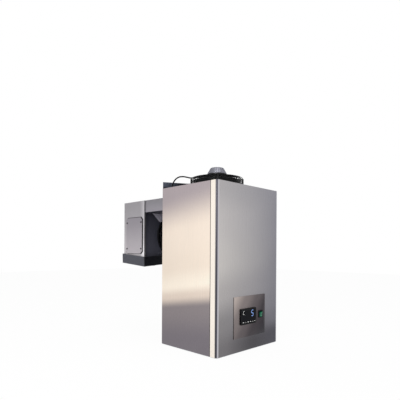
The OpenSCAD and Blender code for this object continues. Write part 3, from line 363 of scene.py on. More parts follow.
# Painted reflection streaks round the front cover's rounded corners.
corner_reach = 0.0135
corner_end = 0.012
corner_blend = 0.002
corner_reflection_stops = [
    (-0.0135, tone(252, 243, 232)), (-0.0105, tone(240, 232, 222)), (-0.0075, tone(105, 103, 104)),
    (-0.004, tone(52, 51, 58)), (0.001, tone(84, 83, 92)), (0.006, tone(190, 188, 194)),
    (0.0115, tone(196, 194, 198))]


def front_colour(finish):
    """Front cover with painted light: painted reflections that are lighter on the left, a painted shadow
    at the foot, and painted reflection streaks round its two corners.
    """
    tree = finish.tree
    low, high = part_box("front_cover")
    parts = add(tree, "SeparateXYZ")
    feed(tree, finish.place, parts.inputs[0])
    aside = spread(tree, parts.outputs["X"], 0.0, 1.0, low.x, high.x)
    height = finish.along((front_slope, 0, 1))
    face = finish.mixed(aside, finish.ramp(height, cabinet_foot, cabinet_top, front_left_reflection),
                        finish.ramp(height, cabinet_foot, cabinet_top, front_right_reflection))
    reach = add(tree, "VectorMath", operation="DISTANCE")
    feed(tree, finish.place, reach.inputs[0])
    feed(tree, foot_shade_place, reach.inputs[1])
    foot = spread(tree, reach.outputs["Value"], foot_shade_depth, 1.0, foot_shade_core, foot_shade_reach)
    inward = combine(tree, "SUBTRACT", high.x, combine(tree, "ABSOLUTE", parts.outputs["X"]))
    behind = combine(tree, "SUBTRACT", parts.outputs["Y"], low.y)
    round_place = combine(tree, "SUBTRACT", inward, behind)
    corner = finish.ramp(round_place, -corner_reach, corner_reach, corner_reflection_stops)
    at_front = spread(tree, round_place, 0.0, 1.0, corner_end - corner_blend, corner_end)
    return finish.mixed(at_front, corner, finish.shaded(face, foot))


left_steel = steel("left_steel", side_colour)
front_steel = steel("front_steel", front_colour)


# Other finishes

housing_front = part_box("evap_housing")[0].y
# Painted shade: the evaporator housing darkens at its front edge, and the drip tray at its front face.
housing_edge = 0.0008
tray_front = 0.1462
edge_blend = 0.0006
# Painted highlight: a near-white margin of the evaporator housing along its front edge, strongest at the
# foot.
margin_highlight_tone = tone(246, 243, 246)
margin_reach = 0.034
margin_slope = -0.25
margin_low = 0.355
margin_high = 0.42
margin_least = 0.3


def sheet_metal(name, low_tone, high_tone, span, metallic, roughness, painted_shade_before=None,
                painted_highlight_margin=False):
    """Painted or plain sheet whose tone changes gently from its foot to its top as painted shading, with a
    painted highlight by a margin and painted shade before an edge where asked.
    """
    finish = Finish(name, metallic=metallic, roughness=roughness)
    body = finish.ramp(finish.along((0, 0, 1)), *span, list(zip(span, (low_tone, high_tone))))
    patches = finish.effect(soft_patches, Size=0.07, Depth=0.03, Roughness=roughness)
    pebbles = finish.effect(fine_stipple, Size=0.0016, Depth=0.02, Roughness=roughness)
    # Painted highlight along the front margin.
    if painted_highlight_margin:
        near = finish.fade((0, 1, 0), 1.0, 0.0, housing_front, housing_front + margin_reach)
        foot = finish.fade((0, margin_slope, 1), 1.0, margin_least, margin_low, margin_high)
        body = finish.mixed(combine(finish.tree, "MULTIPLY", near, foot), body, margin_highlight_tone)
    # Painted shade in front of an edge.
    if painted_shade_before is not None:
        edge = finish.fade((0, 1, 0), edge_shade, 1.0, painted_shade_before, painted_shade_before + edge_blend)
        body = finish.shaded(body, edge)
    finish.bump(pebbles["Height"], strength=0.15, distance=0.0002)
    return finish.done(finish.shaded(body, patches["Shade"], pebbles["Shade"]), patches["Roughness"])


def galvanised_sheet(name, colour):
    """Zinc-coated sheet with its crystal pattern."""
    roughness = 0.4
    finish = Finish(name, metallic=0.85, roughness=roughness)
    crystals = finish.effect(zinc_spangle, Size=0.011, Depth=0.1, Roughness=roughness)
    patches = finish.effect(soft_patches, Size=0.1, Depth=0.04, Roughness=roughness)
    return finish.done(finish.shaded(colour, crystals["Shade"], patches["Shade"]), crystals["Roughness"])


def moulded(name, colour, roughness=0.45, pebble=0.0012, relief=0.25, **sockets):
    """Moulded plastic, rubber, foam or powder coat with a fine pebbled skin."""
    finish = Finish(name, roughness=roughness, **sockets)
    pebbles = finish.effect(fine_stipple, Size=pebble, Depth=0.08, Roughness=roughness)
    patches = finish.effect(soft_patches, Size=0.05, Depth=0.06, Roughness=roughness)
    finish.bump(pebbles["Height"], relief, distance=0.0003)
    return finish.done(finish.shaded(colour, pebbles["Shade"], patches["Shade"]), pebbles["Roughness"])


def bare_metal(name, colour, roughness, stretch=(300, 300, 300)):
    """Turned, cast or drawn bare metal."""
    finish = Finish(name, metallic=1.0, roughness=roughness)
    lines = finish.effect(brushed_grain, Stretch=stretch, Depth=0.05, Roughness=roughness)
    patches = finish.effect(soft_patches, Size=0.03, Depth=0.08, Roughness=roughness)
    return finish.done(finish.shaded(colour, lines["Shade"], patches["Shade"]), lines["Roughness"])


wall_top = 0.72
# The dark band at 0.674 is a painted line of shade where the upstand rises from the cabinet's top.
wall_stops = [
    (0.0, tone(96, 100, 112)), (0.66, tone(86, 90, 103)), (0.674, tone(40, 42, 50)),
    (0.682, tone(84, 89, 103)), (0.711, tone(96, 102, 116))]
# Painted shadow of the fan guard: the upstand's front darkens to this share on the side towards the fan.
guard_shadow = 0.22
guard_shadow_start = -0.15
guard_shadow_end = -0.1
wall_face_start = 0.0038
wall_face_end = 0.0046
upstand_start = 0.66
upstand_end = 0.67


def wall_finish():
    """Blue-grey rear wall, with a painted shadow of the fan guard on the front of its upstand."""
    roughness = 0.4
    finish = Finish("wall_steel", metallic=0.6, roughness=roughness)
    body = finish.ramp(finish.along((0, 0, 1)), 0.0, wall_top, wall_stops)
    guard_shade = finish.fade((1, 0, 0), 1.0, guard_shadow, guard_shadow_start, guard_shadow_end)
    patches = finish.effect(soft_patches, Size=0.07, Depth=0.03, Roughness=roughness)
    front = finish.fade((0, 1, 0), 1.0, 0.0, wall_face_start, wall_face_end)
    top = finish.fade((0, 0, 1), 0.0, 1.0, upstand_start, upstand_end)
    seen = combine(finish.tree, "MULTIPLY", front, top)
    shade = spread(finish.tree, seen, 1.0, guard_shade)
    return finish.done(finish.shaded(body, shade, patches["Shade"]), patches["Roughness"])


plate_across = Vector((0.8, 0, -0.6))
plate_reach = 0.14
# Painted light: the plate lightens towards its upper left corner and darkens towards its lower right.
plate_light_stops = [
    (-0.13, tone(182, 170, 164)), (-0.06, tone(128, 119, 118)), (0.0, tone(96, 89, 91)),
    (0.05, tone(66, 61, 65)), (0.12, tone(46, 44, 50))]
# Painted shadow line along the plate's left edge.
plate_edge_shade = 0.45
plate_edge_start = 0.0006
plate_edge_end = 0.0022


def plate_finish():
    """Dark brushed control plate with painted light: warmer and lighter in its upper left corner, with a
    painted shadow line along its left edge.
    """
    roughness = 0.36
    finish = Finish("plate_steel", metallic=1.0, roughness=roughness)
    centre = plate_across.dot(middle("control_plate"))
    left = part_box("control_plate")[0].x
    body = finish.ramp(finish.along(plate_across), centre - plate_reach, centre + plate_reach,
                       [(centre + value, colour) for value, colour in plate_light_stops])
    edge = finish.fade((1, 0, 0), plate_edge_shade, 1.0, left + plate_edge_start, left + plate_edge_end)
    lines = finish.effect(brushed_grain, Stretch=(700, 700, 6), Depth=0.07, Roughness=roughness)
    return finish.done(finish.shaded(body, edge, lines["Shade"]), lines["Roughness"])


def window_finish():
    """Dark glossy display window, faintly blue behind the digits."""
    finish = Finish("window_glass", roughness=0.12, Specular_IOR_Level=0.06)
    patches = finish.effect(soft_patches, Size=0.03, Depth=0.2, Roughness=0.08)
    return finish.done(finish.shaded(tone(6, 7, 14), patches["Shade"]), patches["Roughness"])


def lamp_finish(name, colour, glow):
    """A plastic that glows faintly from inside; on printed marks this glow is painted light."""
    finish = Finish(name, roughness=0.3, Emission_Strength=glow, Specular_IOR_Level=0.1)
    pebbles = finish.effect(fine_stipple, Size=0.004, Depth=0.1, Roughness=0.25)
    lit = finish.shaded(colour, pebbles["Shade"])
    feed(finish.tree, lit, finish.shader.inputs["Emission Color"])
    return finish.done(lit, pebbles["Roughness"])


wall_steel = wall_finish()
plate_steel = plate_finish()
window_glass = window_finish()
galvanised = galvanised_sheet("galvanised", tone(190, 192, 195))

# These sheets' tones from foot to top are painted shading.
evap_steel = sheet_metal("evap_steel", tone(186, 181, 185), tone(146, 143, 147), (0.38, 0.64), 0.4, 0.42,
                         painted_shade_before=housing_front + housing_edge, painted_highlight_margin=True)
access_steel = sheet_metal("access_steel", tone(174, 168, 173), tone(136, 131, 138), (0.38, 0.57),
                           0.4, 0.4)
neck_steel = sheet_metal("neck_steel", tone(142, 138, 145), tone(126, 124, 129), (0.578, 0.634),
                         0.4, 0.42)
dark_steel = sheet_metal("dark_steel", tone(86, 86, 97), tone(64, 64, 75), (0.35, 0.6), 0.3, 0.5)
tray_steel = sheet_metal("tray_steel", tone(62, 63, 72), tone(70, 70, 80), (0.33, 0.42), 0.3, 0.45,
                         painted_shade_before=tray_front)
apron_steel = sheet_metal("apron_steel", tone(226, 222, 236), tone(200, 196, 210), (0.54, 0.6),
                          0.3, 0.45)

black_wire = moulded("black_wire", tone(6, 6, 9), 0.42, 0.0015, 0.3, Specular_IOR_Level=0.15)
black_plastic = moulded("black_plastic", tone(11, 11, 14), Specular_IOR_Level=0.25)
rubber = moulded("rubber", tone(6, 6, 7), 0.62, Specular_IOR_Level=0.15)
gasket_foam = moulded("gasket_foam", tone(36, 36, 38), 0.9, 0.003, 0.8)
core_foam = moulded("core_foam", tone(226, 208, 150), 0.9, 0.004, 0.8)
grey_plastic = moulded("grey_plastic", tone(150, 152, 155), 0.5)
grille_plastic = moulded("grille_plastic", tone(206, 208, 210))
compressor_paint = moulded("compressor_paint", tone(28, 28, 30), 0.25, 0.004, 0.2, Coat_Weight=0.4)
controller_plastic = moulded("controller_plastic", tone(7, 8, 12), 0.3, 0.006, 0.05,
                             Specular_IOR_Level=0.08)

motor_alu = bare_metal("motor_alu", tone(122, 122, 130), 0.42, (60, 60, 200))
shaft_steel = bare_metal("shaft_steel", tone(196, 196, 196), 0.2, (40, 40, 1200))
copper = bare_metal("copper", tone(206, 132, 96), 0.3, (60, 60, 60))
fin_alu = bare_metal("fin_alu", tone(200, 202, 205), 0.35, (600, 60, 60))
screw_steel = bare_metal("screw_steel", tone(198, 198, 200), 0.28)
dark_screw = bare_metal("dark_screw", tone(26, 25, 30), 0.4)
clip_steel = bare_metal("clip_steel", tone(190, 190, 194), 0.3)

rocker_green = lamp_finish("rocker_green", tone(0, 88, 62), 0.1)
# The I and O are print, so their glow is painted light.
rocker_mark = lamp_finish("rocker_mark", tone(150, 210, 180), 0.25)
digit_light = lamp_finish("digit_light", tone(120, 152, 212), 0.7)
# The key marks are print, so their glow is painted light.
mark_light = lamp_finish("mark_light", tone(215, 215, 212), 0.5)

finishes = {
    left_steel: ["left_panel", "right_panel"],
    front_steel: ["front_cover"],
    wall_steel: ["rear_wall"],
    galvanised: ["base_pan", "front_posts", "fan_deck", "coil_rails", "box_rails", "evap_bracket",
                 "coil_straps"],
    gasket_foam: ["wall_gasket"],
    fin_alu: ["condenser_coil", "evap_coil"],
    black_plastic: ["condenser_fan_ring", "condenser_fan", "terminal_cover", "mains_gland",
                    "evap_fan", "drain_spout"],
    black_wire: ["condenser_guard", "evap_guard", "evap_fan_ring"],
    screw_steel: ["guard_screws", "compressor_bolts", "rear_screws"],
    dark_screw: ["access_screws", "tray_screws"],
    motor_alu: ["condenser_motor"],
    shaft_steel: ["condenser_shaft", "evap_shaft"],
    rubber: ["fan_cable", "deck_grommet", "compressor_grommets"],
    compressor_paint: ["compressor", "compressor_feet", "evap_motor"],
    copper: ["discharge_pipe", "liquid_pipe", "suction_pipe", "filter_drier"],
    grey_plastic: ["electrical_box", "electrical_box_lid"],
    plate_steel: ["control_plate"],
    controller_plastic: ["controller_body", "rocker_housing"],
    window_glass: ["controller_window"],
    rocker_green: ["switch_rocker"],
    neck_steel: ["neck_cover"],
    dark_steel: ["neck_floor", "evap_fan_plate"],
    core_foam: ["neck_core"],
    evap_steel: ["evap_housing"],
    access_steel: ["evap_access_cover"],
    apron_steel: ["evap_apron"],
    grille_plastic: ["outlet_grille"],
    tray_steel: ["drip_tray"],
}
for material, names in finishes.items():
    for name in names:
        slots = nodes[name].data.materials
        slots.clear()
        slots.append(material)


# Modelling helpers

merge_distance = 0.000005
crease = math.radians(35)


def finish_piece(name, bm, material, body="unit", replaced=()):
    """Makes a closed mesh a named piece that rides on a body and may stand for CAD nodes."""
    bmesh.ops.remove_doubles(bm, verts=bm.verts, dist=merge_distance)
    bmesh.ops.recalc_face_normals(bm, faces=bm.faces)
    mesh = bpy.data.meshes.new(name)
    bm.to_mesh(mesh)
    bm.free()
    mesh.shade_smooth()
    mesh.set_sharp_from_angle(angle=crease)
    mesh.materials.append(material)
    piece = bpy.data.objects.new(name, mesh)
    scene.collection.objects.link(piece)
    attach(piece, body)
    if replaced:
        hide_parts(*replaced)


def edges_of(verts):
    """The edges that meet some vertices, each once."""
    return list(dict.fromkeys(edge for vert in verts for edge in vert.link_edges))


def parts_in(geometry, kind):
    """The vertices or edges among the parts that an operator made."""
    return [part for part in geometry if isinstance(part, kind)]


def aim(bm, verts, axis, place):
    """Turns points from +Z to an axis and moves them to a place."""
    turn = Vector((0, 0, 1)).rotation_difference(Vector(axis)).to_matrix()
    bmesh.ops.rotate(bm, verts=verts, cent=(0, 0, 0), matrix=turn)
    bmesh.ops.translate(bm, verts=verts, vec=place)


def turned(angle, axis="Z"):
    """A turn by an angle in degrees."""
    return Matrix.Rotation(math.radians(angle), 3, axis)


def evenly(count, axis="Z", start=0.5):
    """Turns spread evenly round an axis, the first one by a share of a step."""
    return [Matrix.Rotation(math.tau * (i + start) / count, 3, axis) for i in range(count)]


def spun(bm, profile, centre, steps=64, axis=(0, 0, 1)):
    """Spins a profile of (radius, height) points round an axis; an end on the axis closes it."""
    verts = [bm.verts.new((radius, 0, height)) for radius, height in profile]
    edges = [bm.edges.new(pair) for pair in zip(verts, verts[1:])]
    if profile[0][0] > 0 and profile[-1][0] > 0:
        edges.append(bm.edges.new((verts[-1], verts[0])))
    before = set(bm.verts) - set(verts)
    bmesh.ops.spin(bm, geom=verts + edges, cent=(0, 0, 0), axis=(0, 0, 1), angle=math.tau,
                   steps=steps, use_merge=True)
    aim(bm, [vert for vert in bm.verts if vert not in before], axis, centre)


def ring(bm, radius, height, thickness, centre, axis=(0, 0, 1), sides=10, steps=96):
    """A round wire ring at a height along an axis."""
    half = thickness / 2
    angles = [math.tau * i / sides for i in range(sides)]
    profile = [(radius + half * math.cos(a), height + half * math.sin(a)) for a in angles]
    spun(bm, profile, centre, steps, axis)


bend_steps = 5


def rounded(points, radius):
    """A path whose corners are rounded."""
    path = [Vector(points[0])]
    for before, corner, after in zip(points, points[1:], points[2:]):
        corner = Vector(corner)
        start = corner + (Vector(before) - corner).normalized() * radius
        end = corner + (Vector(after) - corner).normalized() * radius
        for i in range(bend_steps + 1):
            t = i / bend_steps
            path.append(start * (1 - t) ** 2 + corner * 2 * t * (1 - t) + end * t ** 2)
    path.append(Vector(points[-1]))
    return path


def wire_curve(name, path, thickness, resolution):
    """A curve with a round section along a path."""
    data = bpy.data.curves.new(name, "CURVE")
    data.dimensions = "3D"
    data.bevel_depth = thickness / 2
    data.bevel_resolution = resolution
    data.use_fill_caps = True
    line = data.splines.new("POLY")
    line.points.add(len(path) - 1)
    for point, place in zip(line.points, path):
        point.co = (*place, 1)
    return bpy.data.objects.new(name, data)


def swept(bm, path, thickness):
    """Adds a round wire along a path, made as a curve and turned into mesh."""
    sweep = wire_curve("sweep", path, thickness, resolution=2)
    bm.from_mesh(sweep.to_mesh())
    sweep.to_mesh_clear()
    bpy.data.objects.remove(sweep)


def block(bm, low, high, ease):
    """A box between two corners with eased edges."""
    low, high = Vector(low), Vector(high)
    made = bmesh.ops.create_cube(bm, size=1)["verts"]
    bmesh.ops.scale(bm, verts=made, vec=high - low)
    bmesh.ops.translate(bm, verts=made, vec=(low + high) / 2)
    bmesh.ops.bevel(bm, geom=edges_of(made), offset=ease, segments=2, profile=0.5, affect="EDGES",
                    material=-1)


def slab(bm, outline, front, depth):
    """A flat shape of (x, z) points whose face looks along -Y."""
    face = bm.faces.new([bm.verts.new((x, front, z)) for x, z in outline])
    made = bmesh.ops.extrude_face_region(bm, geom=[face])["geom"]
    bmesh.ops.translate(bm, verts=parts_in(made, bmesh.types.BMVert), vec=(0, depth, 0))


copy_merge = 0.00002
flat_angle = math.radians(1)
sharp_angle = math.radians(40)


def eased_copy(node, width, material, body="unit"):
    """A merged copy of a CAD node with its sharp edges eased, which stands for the node."""
    bm = bmesh.new()
    bm.from_mesh(nodes[node].data)
    bmesh.ops.remove_doubles(bm, verts=bm.verts, dist=copy_merge)
    bmesh.ops.dissolve_limit(bm, angle_limit=flat_angle, verts=bm.verts, edges=bm.edges)
    edges = [e for e in bm.edges if e.is_manifold and e.calc_face_angle(0) > sharp_angle]
    bmesh.ops.bevel(bm, geom=edges, offset=width, segments=2, profile=0.5, affect="EDGES",
                    clamp_overlap=True, material=-1)
    finish_piece(node + "_eased", bm, material, body, [node])


# Condenser fan: wire basket guard, motor and cable

fan_axis = Vector((*middle("condenser_fan_ring").xy, 0))
deck_z = 0.6685
motor_foot = 0.727
guard_top = 0.722
guard_ring_r = 0.1125
hub_r = 0.0405
shaft_hole = 0.009
wire = 0.003
wire_sink = 0.8
crown = 0.005
top_rings = 9
side_rings = 7
side_foot = 0.67
ribs = 10
rib_end = 0.0375
rib_bend = 0.007
leg_r = 0.1155
leg_w = 0.007
leg_t = 0.005
leg_ease = 0.001
foot_out = 0.009
foot_r = 0.006
foot_t = 0.003
foot_ease = 0.0006
foot_hole = 0.0022
leg_turns = [turned(45 + 90 * quarter) for quarter in range(4)]


def guard_height(radius):
    """Height of the guard's upper rings above the deck's frame, at a radius."""
    return guard_top - wire / 2 + crown * (guard_ring_r - radius) / (guard_ring_r - hub_r)


def make_leg():
    """The guard's leg that stands along +X, with its round foot, as a mesh."""
    bm = bmesh.new()
    half, foot_top, foot_x = leg_w / 2, deck_z + foot_t, leg_r + foot_out
    block(bm, (leg_r - leg_t / 2, -half, deck_z), (leg_r + leg_t / 2, half, guard_top), leg_ease)
    block(bm, (leg_r, -half, deck_z), (foot_x - foot_hole, half, foot_top), foot_ease)
    spun(bm, [(foot_hole, deck_z), (foot_r, deck_z), (foot_r, foot_top), (foot_hole, foot_top)],
         (foot_x, 0, 0), steps=24)
    mesh = bpy.data.meshes.new("leg")
    bm.to_mesh(mesh)
    bm.free()
    return mesh


def make_guard():
    """Round wire rings on bent ribs, a hub plate under the motor and four flat legs."""
    bm = bmesh.new()
    pitch = (guard_ring_r - hub_r) / top_rings
    for i in range(top_rings):
        radius = guard_ring_r - i * pitch
        ring(bm, radius, guard_height(radius), wire, fan_axis)
    drop = (guard_top - side_foot) / (side_rings + 1)
    for i in range(1, side_rings + 1):
        ring(bm, guard_ring_r, guard_top - wire / 2 - i * drop, wire, fan_axis)
    sink = wire * wire_sink
    inner = guard_ring_r - sink
    corners = [(inner, 0, deck_z + 3 * wire), (inner, 0, guard_height(inner) - sink),
               (rib_end, 0, guard_height(rib_end) - sink)]
    for turn in evenly(ribs):
        swept(bm, [turn @ p + fan_axis for p in rounded(corners, rib_bend)], wire)
    spun(bm, [(shaft_hole, motor_foot - wire), (hub_r, motor_foot - wire), (hub_r, motor_foot),
              (shaft_hole, motor_foot)], fan_axis)
    leg = make_leg()
    for turn in leg_turns:
        old = len(bm.verts)
        bm.from_mesh(leg)
        made = list(bm.verts)[old:]
        bmesh.ops.rotate(bm, verts=made, cent=(0, 0, 0), matrix=turn)
        bmesh.ops.translate(bm, verts=made, vec=fan_axis)
    bpy.data.meshes.remove(leg)
    finish_piece("condenser_guard_wires", bm, black_wire, replaced=["condenser_guard"])


can_foot = 0.0147
can_profile = [
    (0.041, 0.0145), (0.0435, 0.015), (0.0435, 0.0168), (0.0415, 0.0178), (0.0395, 0.022),
    (0.037, 0.0262), (0.034, 0.0316), (0.0308, 0.0371), (0.0288, 0.0402), (0.0265, 0.042),
    (0.0225, 0.0426), (0.014, 0.0422), (0.0, 0.0422)]
base_profile = [(0.0, 0.0), (0.04, 0.0), (0.041, 0.001), (0.041, 0.0148), (0.0, 0.0148)]
collar_profile = [(0.0052, -0.014), (0.0087, -0.014), (0.0087, 0.001), (0.0052, 0.001)]
cap_profile = [(0.0, 0.0416), (0.0134, 0.0416), (0.0134, 0.0426), (0.013, 0.043), (0.0, 0.043)]
bolt_profile = [(0.0, 0.0416), (0.0024, 0.0416), (0.0024, 0.0434), (0.0, 0.0436)]
bolt_ring_r = 0.019
motor_bolts = 4
fin_count = 28
fin_t = 0.0022
fin_out = 0.0002


def make_motor():
    """Black round base with a tapered aluminium can, its cooling ribs, cap and bolts."""
    centre = fan_axis + Vector((0, 0, motor_foot))
    bm = bmesh.new()
    spun(bm, base_profile, centre)
    spun(bm, collar_profile, centre, steps=32)
    finish_piece("condenser_motor_base", bm, black_plastic)
    bm = bmesh.new()
    spun(bm, [(0.0, can_foot)] + can_profile, centre, steps=96)
    for turn in evenly(fin_count, start=0):
        path = [turn @ Vector((r + fin_out, 0, z)) + centre for r, z in can_profile[3:10]]
        swept(bm, path, fin_t)
    finish_piece("condenser_motor_can", bm, motor_alu, replaced=["condenser_motor"])
    bm = bmesh.new()
    spun(bm, cap_profile, centre, steps=48)
    for turn in evenly(motor_bolts):
        spun(bm, bolt_profile, turn @ Vector((bolt_ring_r, 0, 0)) + centre, steps=6)
    finish_piece("condenser_motor_cap", bm, motor_alu)


cable_points = [
    (-29.2, -99.8, 730.2), (-42, -87, 730.5), (-56, -73, 729), (-70, -59, 727), (-84, -45, 726),
    (-98, -37, 728.5), (-115, -29, 729.5), (-131, -22, 726), (-144, -16, 716), (-153, -12, 702),
    (-158, -11, 688), (-160, -11, 670), (-160, -11, 640), (-160, -11, 600), (-160, -11, 560),
    (-160, -11, 520), (-160, -11, 480), (-160, -11, 440), (-160, -11, 400), (-160, -12, 360),
    (-158, -25, 328), (-150, -60, 318), (-140, -100, 318), (-128, -140, 316), (-114, -180, 308),
    (-101, -216, 288), (-94, -232, 262), (-92, -236, 238), (-92, -236, 206)]
cable_d = 0.006
cable_steps = 6
tie_shares = (0.055, 0.118)
tie_half = 0.0014
tie_out = 0.0011
tie_in = 0.0002


def smooth_route(points, steps):
    """A smooth curve through a route's points, as the CAD model draws it."""
    path = []
    for i in range(len(points) - 1):
        a, b, c, d = (points[max(0, min(len(points) - 1, i + k))] for k in (-1, 0, 1, 2))
        for j in range(steps):
            t = j / steps
            path.append(0.5 * (2 * b + (c - a) * t + (2 * a - 5 * b + 4 * c - d) * t ** 2
                               + (3 * b - a - 3 * c + d) * t ** 3))
    path.append(points[-1])
    return path


cable_path = smooth_route([Vector(point) * mm for point in cable_points], cable_steps)


def make_cable():
    """The fan's cable, and its two ties on the guard."""
    cable = wire_curve("fan_cable_run", cable_path, cable_d, resolution=4)
    cable.data.materials.append(rubber)
    scene.collection.objects.link(cable)
    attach(cable, "unit")
    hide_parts("fan_cable")
    bm = bmesh.new()
    outer, inner = cable_d / 2 + tie_out, cable_d / 2 - tie_in
    profile = [(inner, -tie_half), (outer, -tie_half), (outer, tie_half), (inner, tie_half)]
    for share in tie_shares:
        i = round(share * len(cable_path))
        run = cable_path[i + 1] - cable_path[i - 1]
        spun(bm, profile, cable_path[i], 24, axis=run.normalized())
    finish_piece("fan_cable_ties", bm, black_plastic)


make_guard()
make_motor()
make_cable()


# Controls: controller face with its digit and key marks, and the rocker switch

mark_t = 0.0002
mark_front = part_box("controller_window")[0].y - mark_t / 2


def stroke(bm, start, end, width, front=mark_front):
    """A flat stroke with pointed ends on a face that looks along -Y."""
    start, end = Vector(start), Vector(end)
    along = (end - start).normalized() * width / 2
    aside = Vector((-along.y, along.x))
    outline = [start, start + along + aside, end - along + aside, end, end - along - aside,
               start + along - aside]
    slab(bm, [tuple(p) for p in outline], front, mark_t)


digit_x = 0.011
digit_low = 0.138
digit_high = 0.1605
digit_w = 0.0115
digit_stroke = 0.0025
digit_gap = 0.0005
digit_slant = 0.09


def make_digit():
    """A plain seven-segment 5."""
    bm = bmesh.new()
    half = (digit_low + digit_high) / 2
    left, right = digit_x - digit_w / 2, digit_x + digit_w / 2
    corners = {"tl": (left, digit_high), "tr": (right, digit_high), "ml": (left, half),
               "mr": (right, half), "bl": (left, digit_low), "br": (right, digit_low)}
    for first, second in (("tl", "tr"), ("ml", "tl"), ("ml", "mr"), ("br", "mr"), ("bl", "br")):
        a, b = Vector(corners[first]), Vector(corners[second])
        trim = (b - a).normalized() * digit_gap
        stroke(bm, a + trim, b - trim, digit_stroke)
    for vert in bm.verts:
        vert.co.x += (vert.co.z - half) * digit_slant
    finish_piece("display_digit", bm, digit_light)


moon_centre = Vector((-0.043, 0.154))
moon_outer = (0.0066, 0.0072)
moon_inner = (0.0058, 0.0064)
moon_shift = 0.0004
moon_start = math.radians(60)
moon_turn = math.radians(240)
moon_steps = 14
key_count = 6
key_x = -0.0505
key_pitch = 0.0152
key_w = 0.008
key_line = 0.0018
key_lines = (0.1122, 0.1158)
key_up = (0.1114, 0.1168)
key_down = (0.1166, 0.1112)


def moon_arc(radii, shift=0.0):
    """The points of one side of the open ring."""
    angles = [moon_start + moon_turn * i / moon_steps for i in range(moon_steps + 1)]
    return [(moon_centre.x + shift + radii[0] * math.cos(a), moon_centre.y + radii[1] * math.sin(a))
            for a in angles]


def make_marks():
    """An open ring beside the digit and a row of plain key marks below it."""
    bm = bmesh.new()
    slab(bm, moon_arc(moon_outer) + moon_arc(moon_inner, moon_shift)[::-1], mark_front, mark_t)
    for i in range(key_count):
        left = key_x + key_pitch * i
        half, right = left + key_w / 2, left + key_w
        if i % 3 == 0:
            for height in key_lines:
                stroke(bm, (left, height), (right, height), key_line)
        elif i % 3 == 1:
            foot, tip = key_up
            slab(bm, [(left, foot), (right, foot), (half, tip)], mark_front, mark_t)
        else:
            foot, tip = key_down
            slab(bm, [(left, foot), (half, tip), (right, foot)], mark_front, mark_t)
    finish_piece("display_marks", bm, mark_light)


rocker_pivot = Vector((0.072, -0.3108, 0.1385))
rocker_tilt = turned(9, "X")
rocker_nose = 0.0099
rocker_rise = 0.0014
rocker_run = 0.0103
mark_reach = 0.0054
mark_half = 0.0034
mark_line = 0.0016
mark_ring = (0.0016, 0.0026)


def make_rocker_marks():
    """The I and O of the rocker, on its two slopes."""
    for name, lean in (("rocker_mark_on", 1), ("rocker_mark_off", -1)):
        bm = bmesh.new()
        if lean > 0:
            stroke(bm, (0, mark_reach - mark_half), (0, mark_reach + mark_half), mark_line, 0)
        else:
            inner, outer = mark_ring
            spun(bm, [(inner, 0), (outer, 0), (outer, mark_t), (inner, mark_t)],
                 (0, mark_t, -mark_reach), 24, axis=(0, -1, 0))
        slope = Matrix.Rotation(math.atan2(rocker_rise, rocker_run) * -lean, 3, "X")
        nose = rocker_rise * (1 - mark_reach / rocker_run) - rocker_nose - mark_t / 2
        bmesh.ops.translate(bm, verts=bm.verts, vec=(0, 0, -lean * mark_reach))
        bmesh.ops.rotate(bm, verts=bm.verts, cent=(0, 0, 0), matrix=slope)
        bmesh.ops.translate(bm, verts=bm.verts, vec=(0, nose, lean * mark_reach))
        bmesh.ops.rotate(bm, verts=bm.verts, cent=(0, 0, 0), matrix=rocker_tilt)
        bmesh.ops.translate(bm, verts=bm.verts, vec=rocker_pivot)
        finish_piece(name, bm, rocker_mark, "rocker")


eased_copy("controller_body", 0.0009, controller_plastic)
eased_copy("rocker_housing", 0.0006, controller_plastic)
eased_copy("control_plate", 0.0003, plate_steel)
eased_copy("switch_rocker", 0.0005, rocker_green, "rocker")
make_digit()
make_marks()
make_rocker_marks()


# Screws with cross recesses

screw_d = 0.004
screw_length = 0.012
head_h = screw_d * 0.55
mouth_r = screw_d * 0.62
cross_long = screw_d * 0.42
cross_short = screw_d * 0.11
cross_depth = screw_d * 0.3
head_profile = [(screw_d * 0.8, head_h * 0.82), (screw_d * 0.93, head_h * 0.35), (screw_d * 0.95, 0),
                (screw_d * 0.5, 0), (screw_d * 0.5, -screw_length)]


def add_screw(bm, place, axis):
    """A pan head with a cross recess, on its shank."""
    a, b = cross_long, cross_short
    cross = [(b, b), (b, a), (-b, a), (-b, b), (-a, b), (-a, -b), (-b, -b), (-b, -a), (b, -a), (b, -b),
             (a, -b), (a, b)]
    before = set(bm.verts)
    mouth = [bm.verts.new((x, y, head_h)) for x, y in cross]
    mouth_edges = [bm.edges.new(pair) for pair in zip(mouth, mouth[1:] + mouth[:1])]
    pit = bmesh.ops.extrude_edge_only(bm, edges=mouth_edges)["geom"]
    bmesh.ops.translate(bm, verts=parts_in(pit, bmesh.types.BMVert), vec=(0, 0, -cross_depth))
    bmesh.ops.contextual_create(bm, geom=parts_in(pit, bmesh.types.BMEdge))
    loop = bmesh.ops.create_circle(bm, segments=24, radius=mouth_r)["verts"]
    bmesh.ops.translate(bm, verts=loop, vec=(0, 0, head_h))
    rim = edges_of(loop)
    bmesh.ops.bridge_loops(bm, edges=mouth_edges + rim)
    for radius, height in head_profile:
        made = bmesh.ops.extrude_edge_only(bm, edges=rim)["geom"]
        rim = parts_in(made, bmesh.types.BMEdge)
        for vert in parts_in(made, bmesh.types.BMVert):
            flat = Vector((vert.co.x, vert.co.y, 0)).normalized() * radius
            vert.co = (flat.x, flat.y, height)
    bmesh.ops.contextual_create(bm, geom=rim)
    aim(bm, [vert for vert in bm.verts if vert not in before], axis, place)


def make_screws(node, material, places):
    """One piece for a CAD node's screws, each given by its place and axis."""
    bm = bmesh.new()
    for place, axis in places:
        add_screw(bm, place, axis)
    finish_piece(node + "_crossed", bm, material, replaced=[node])


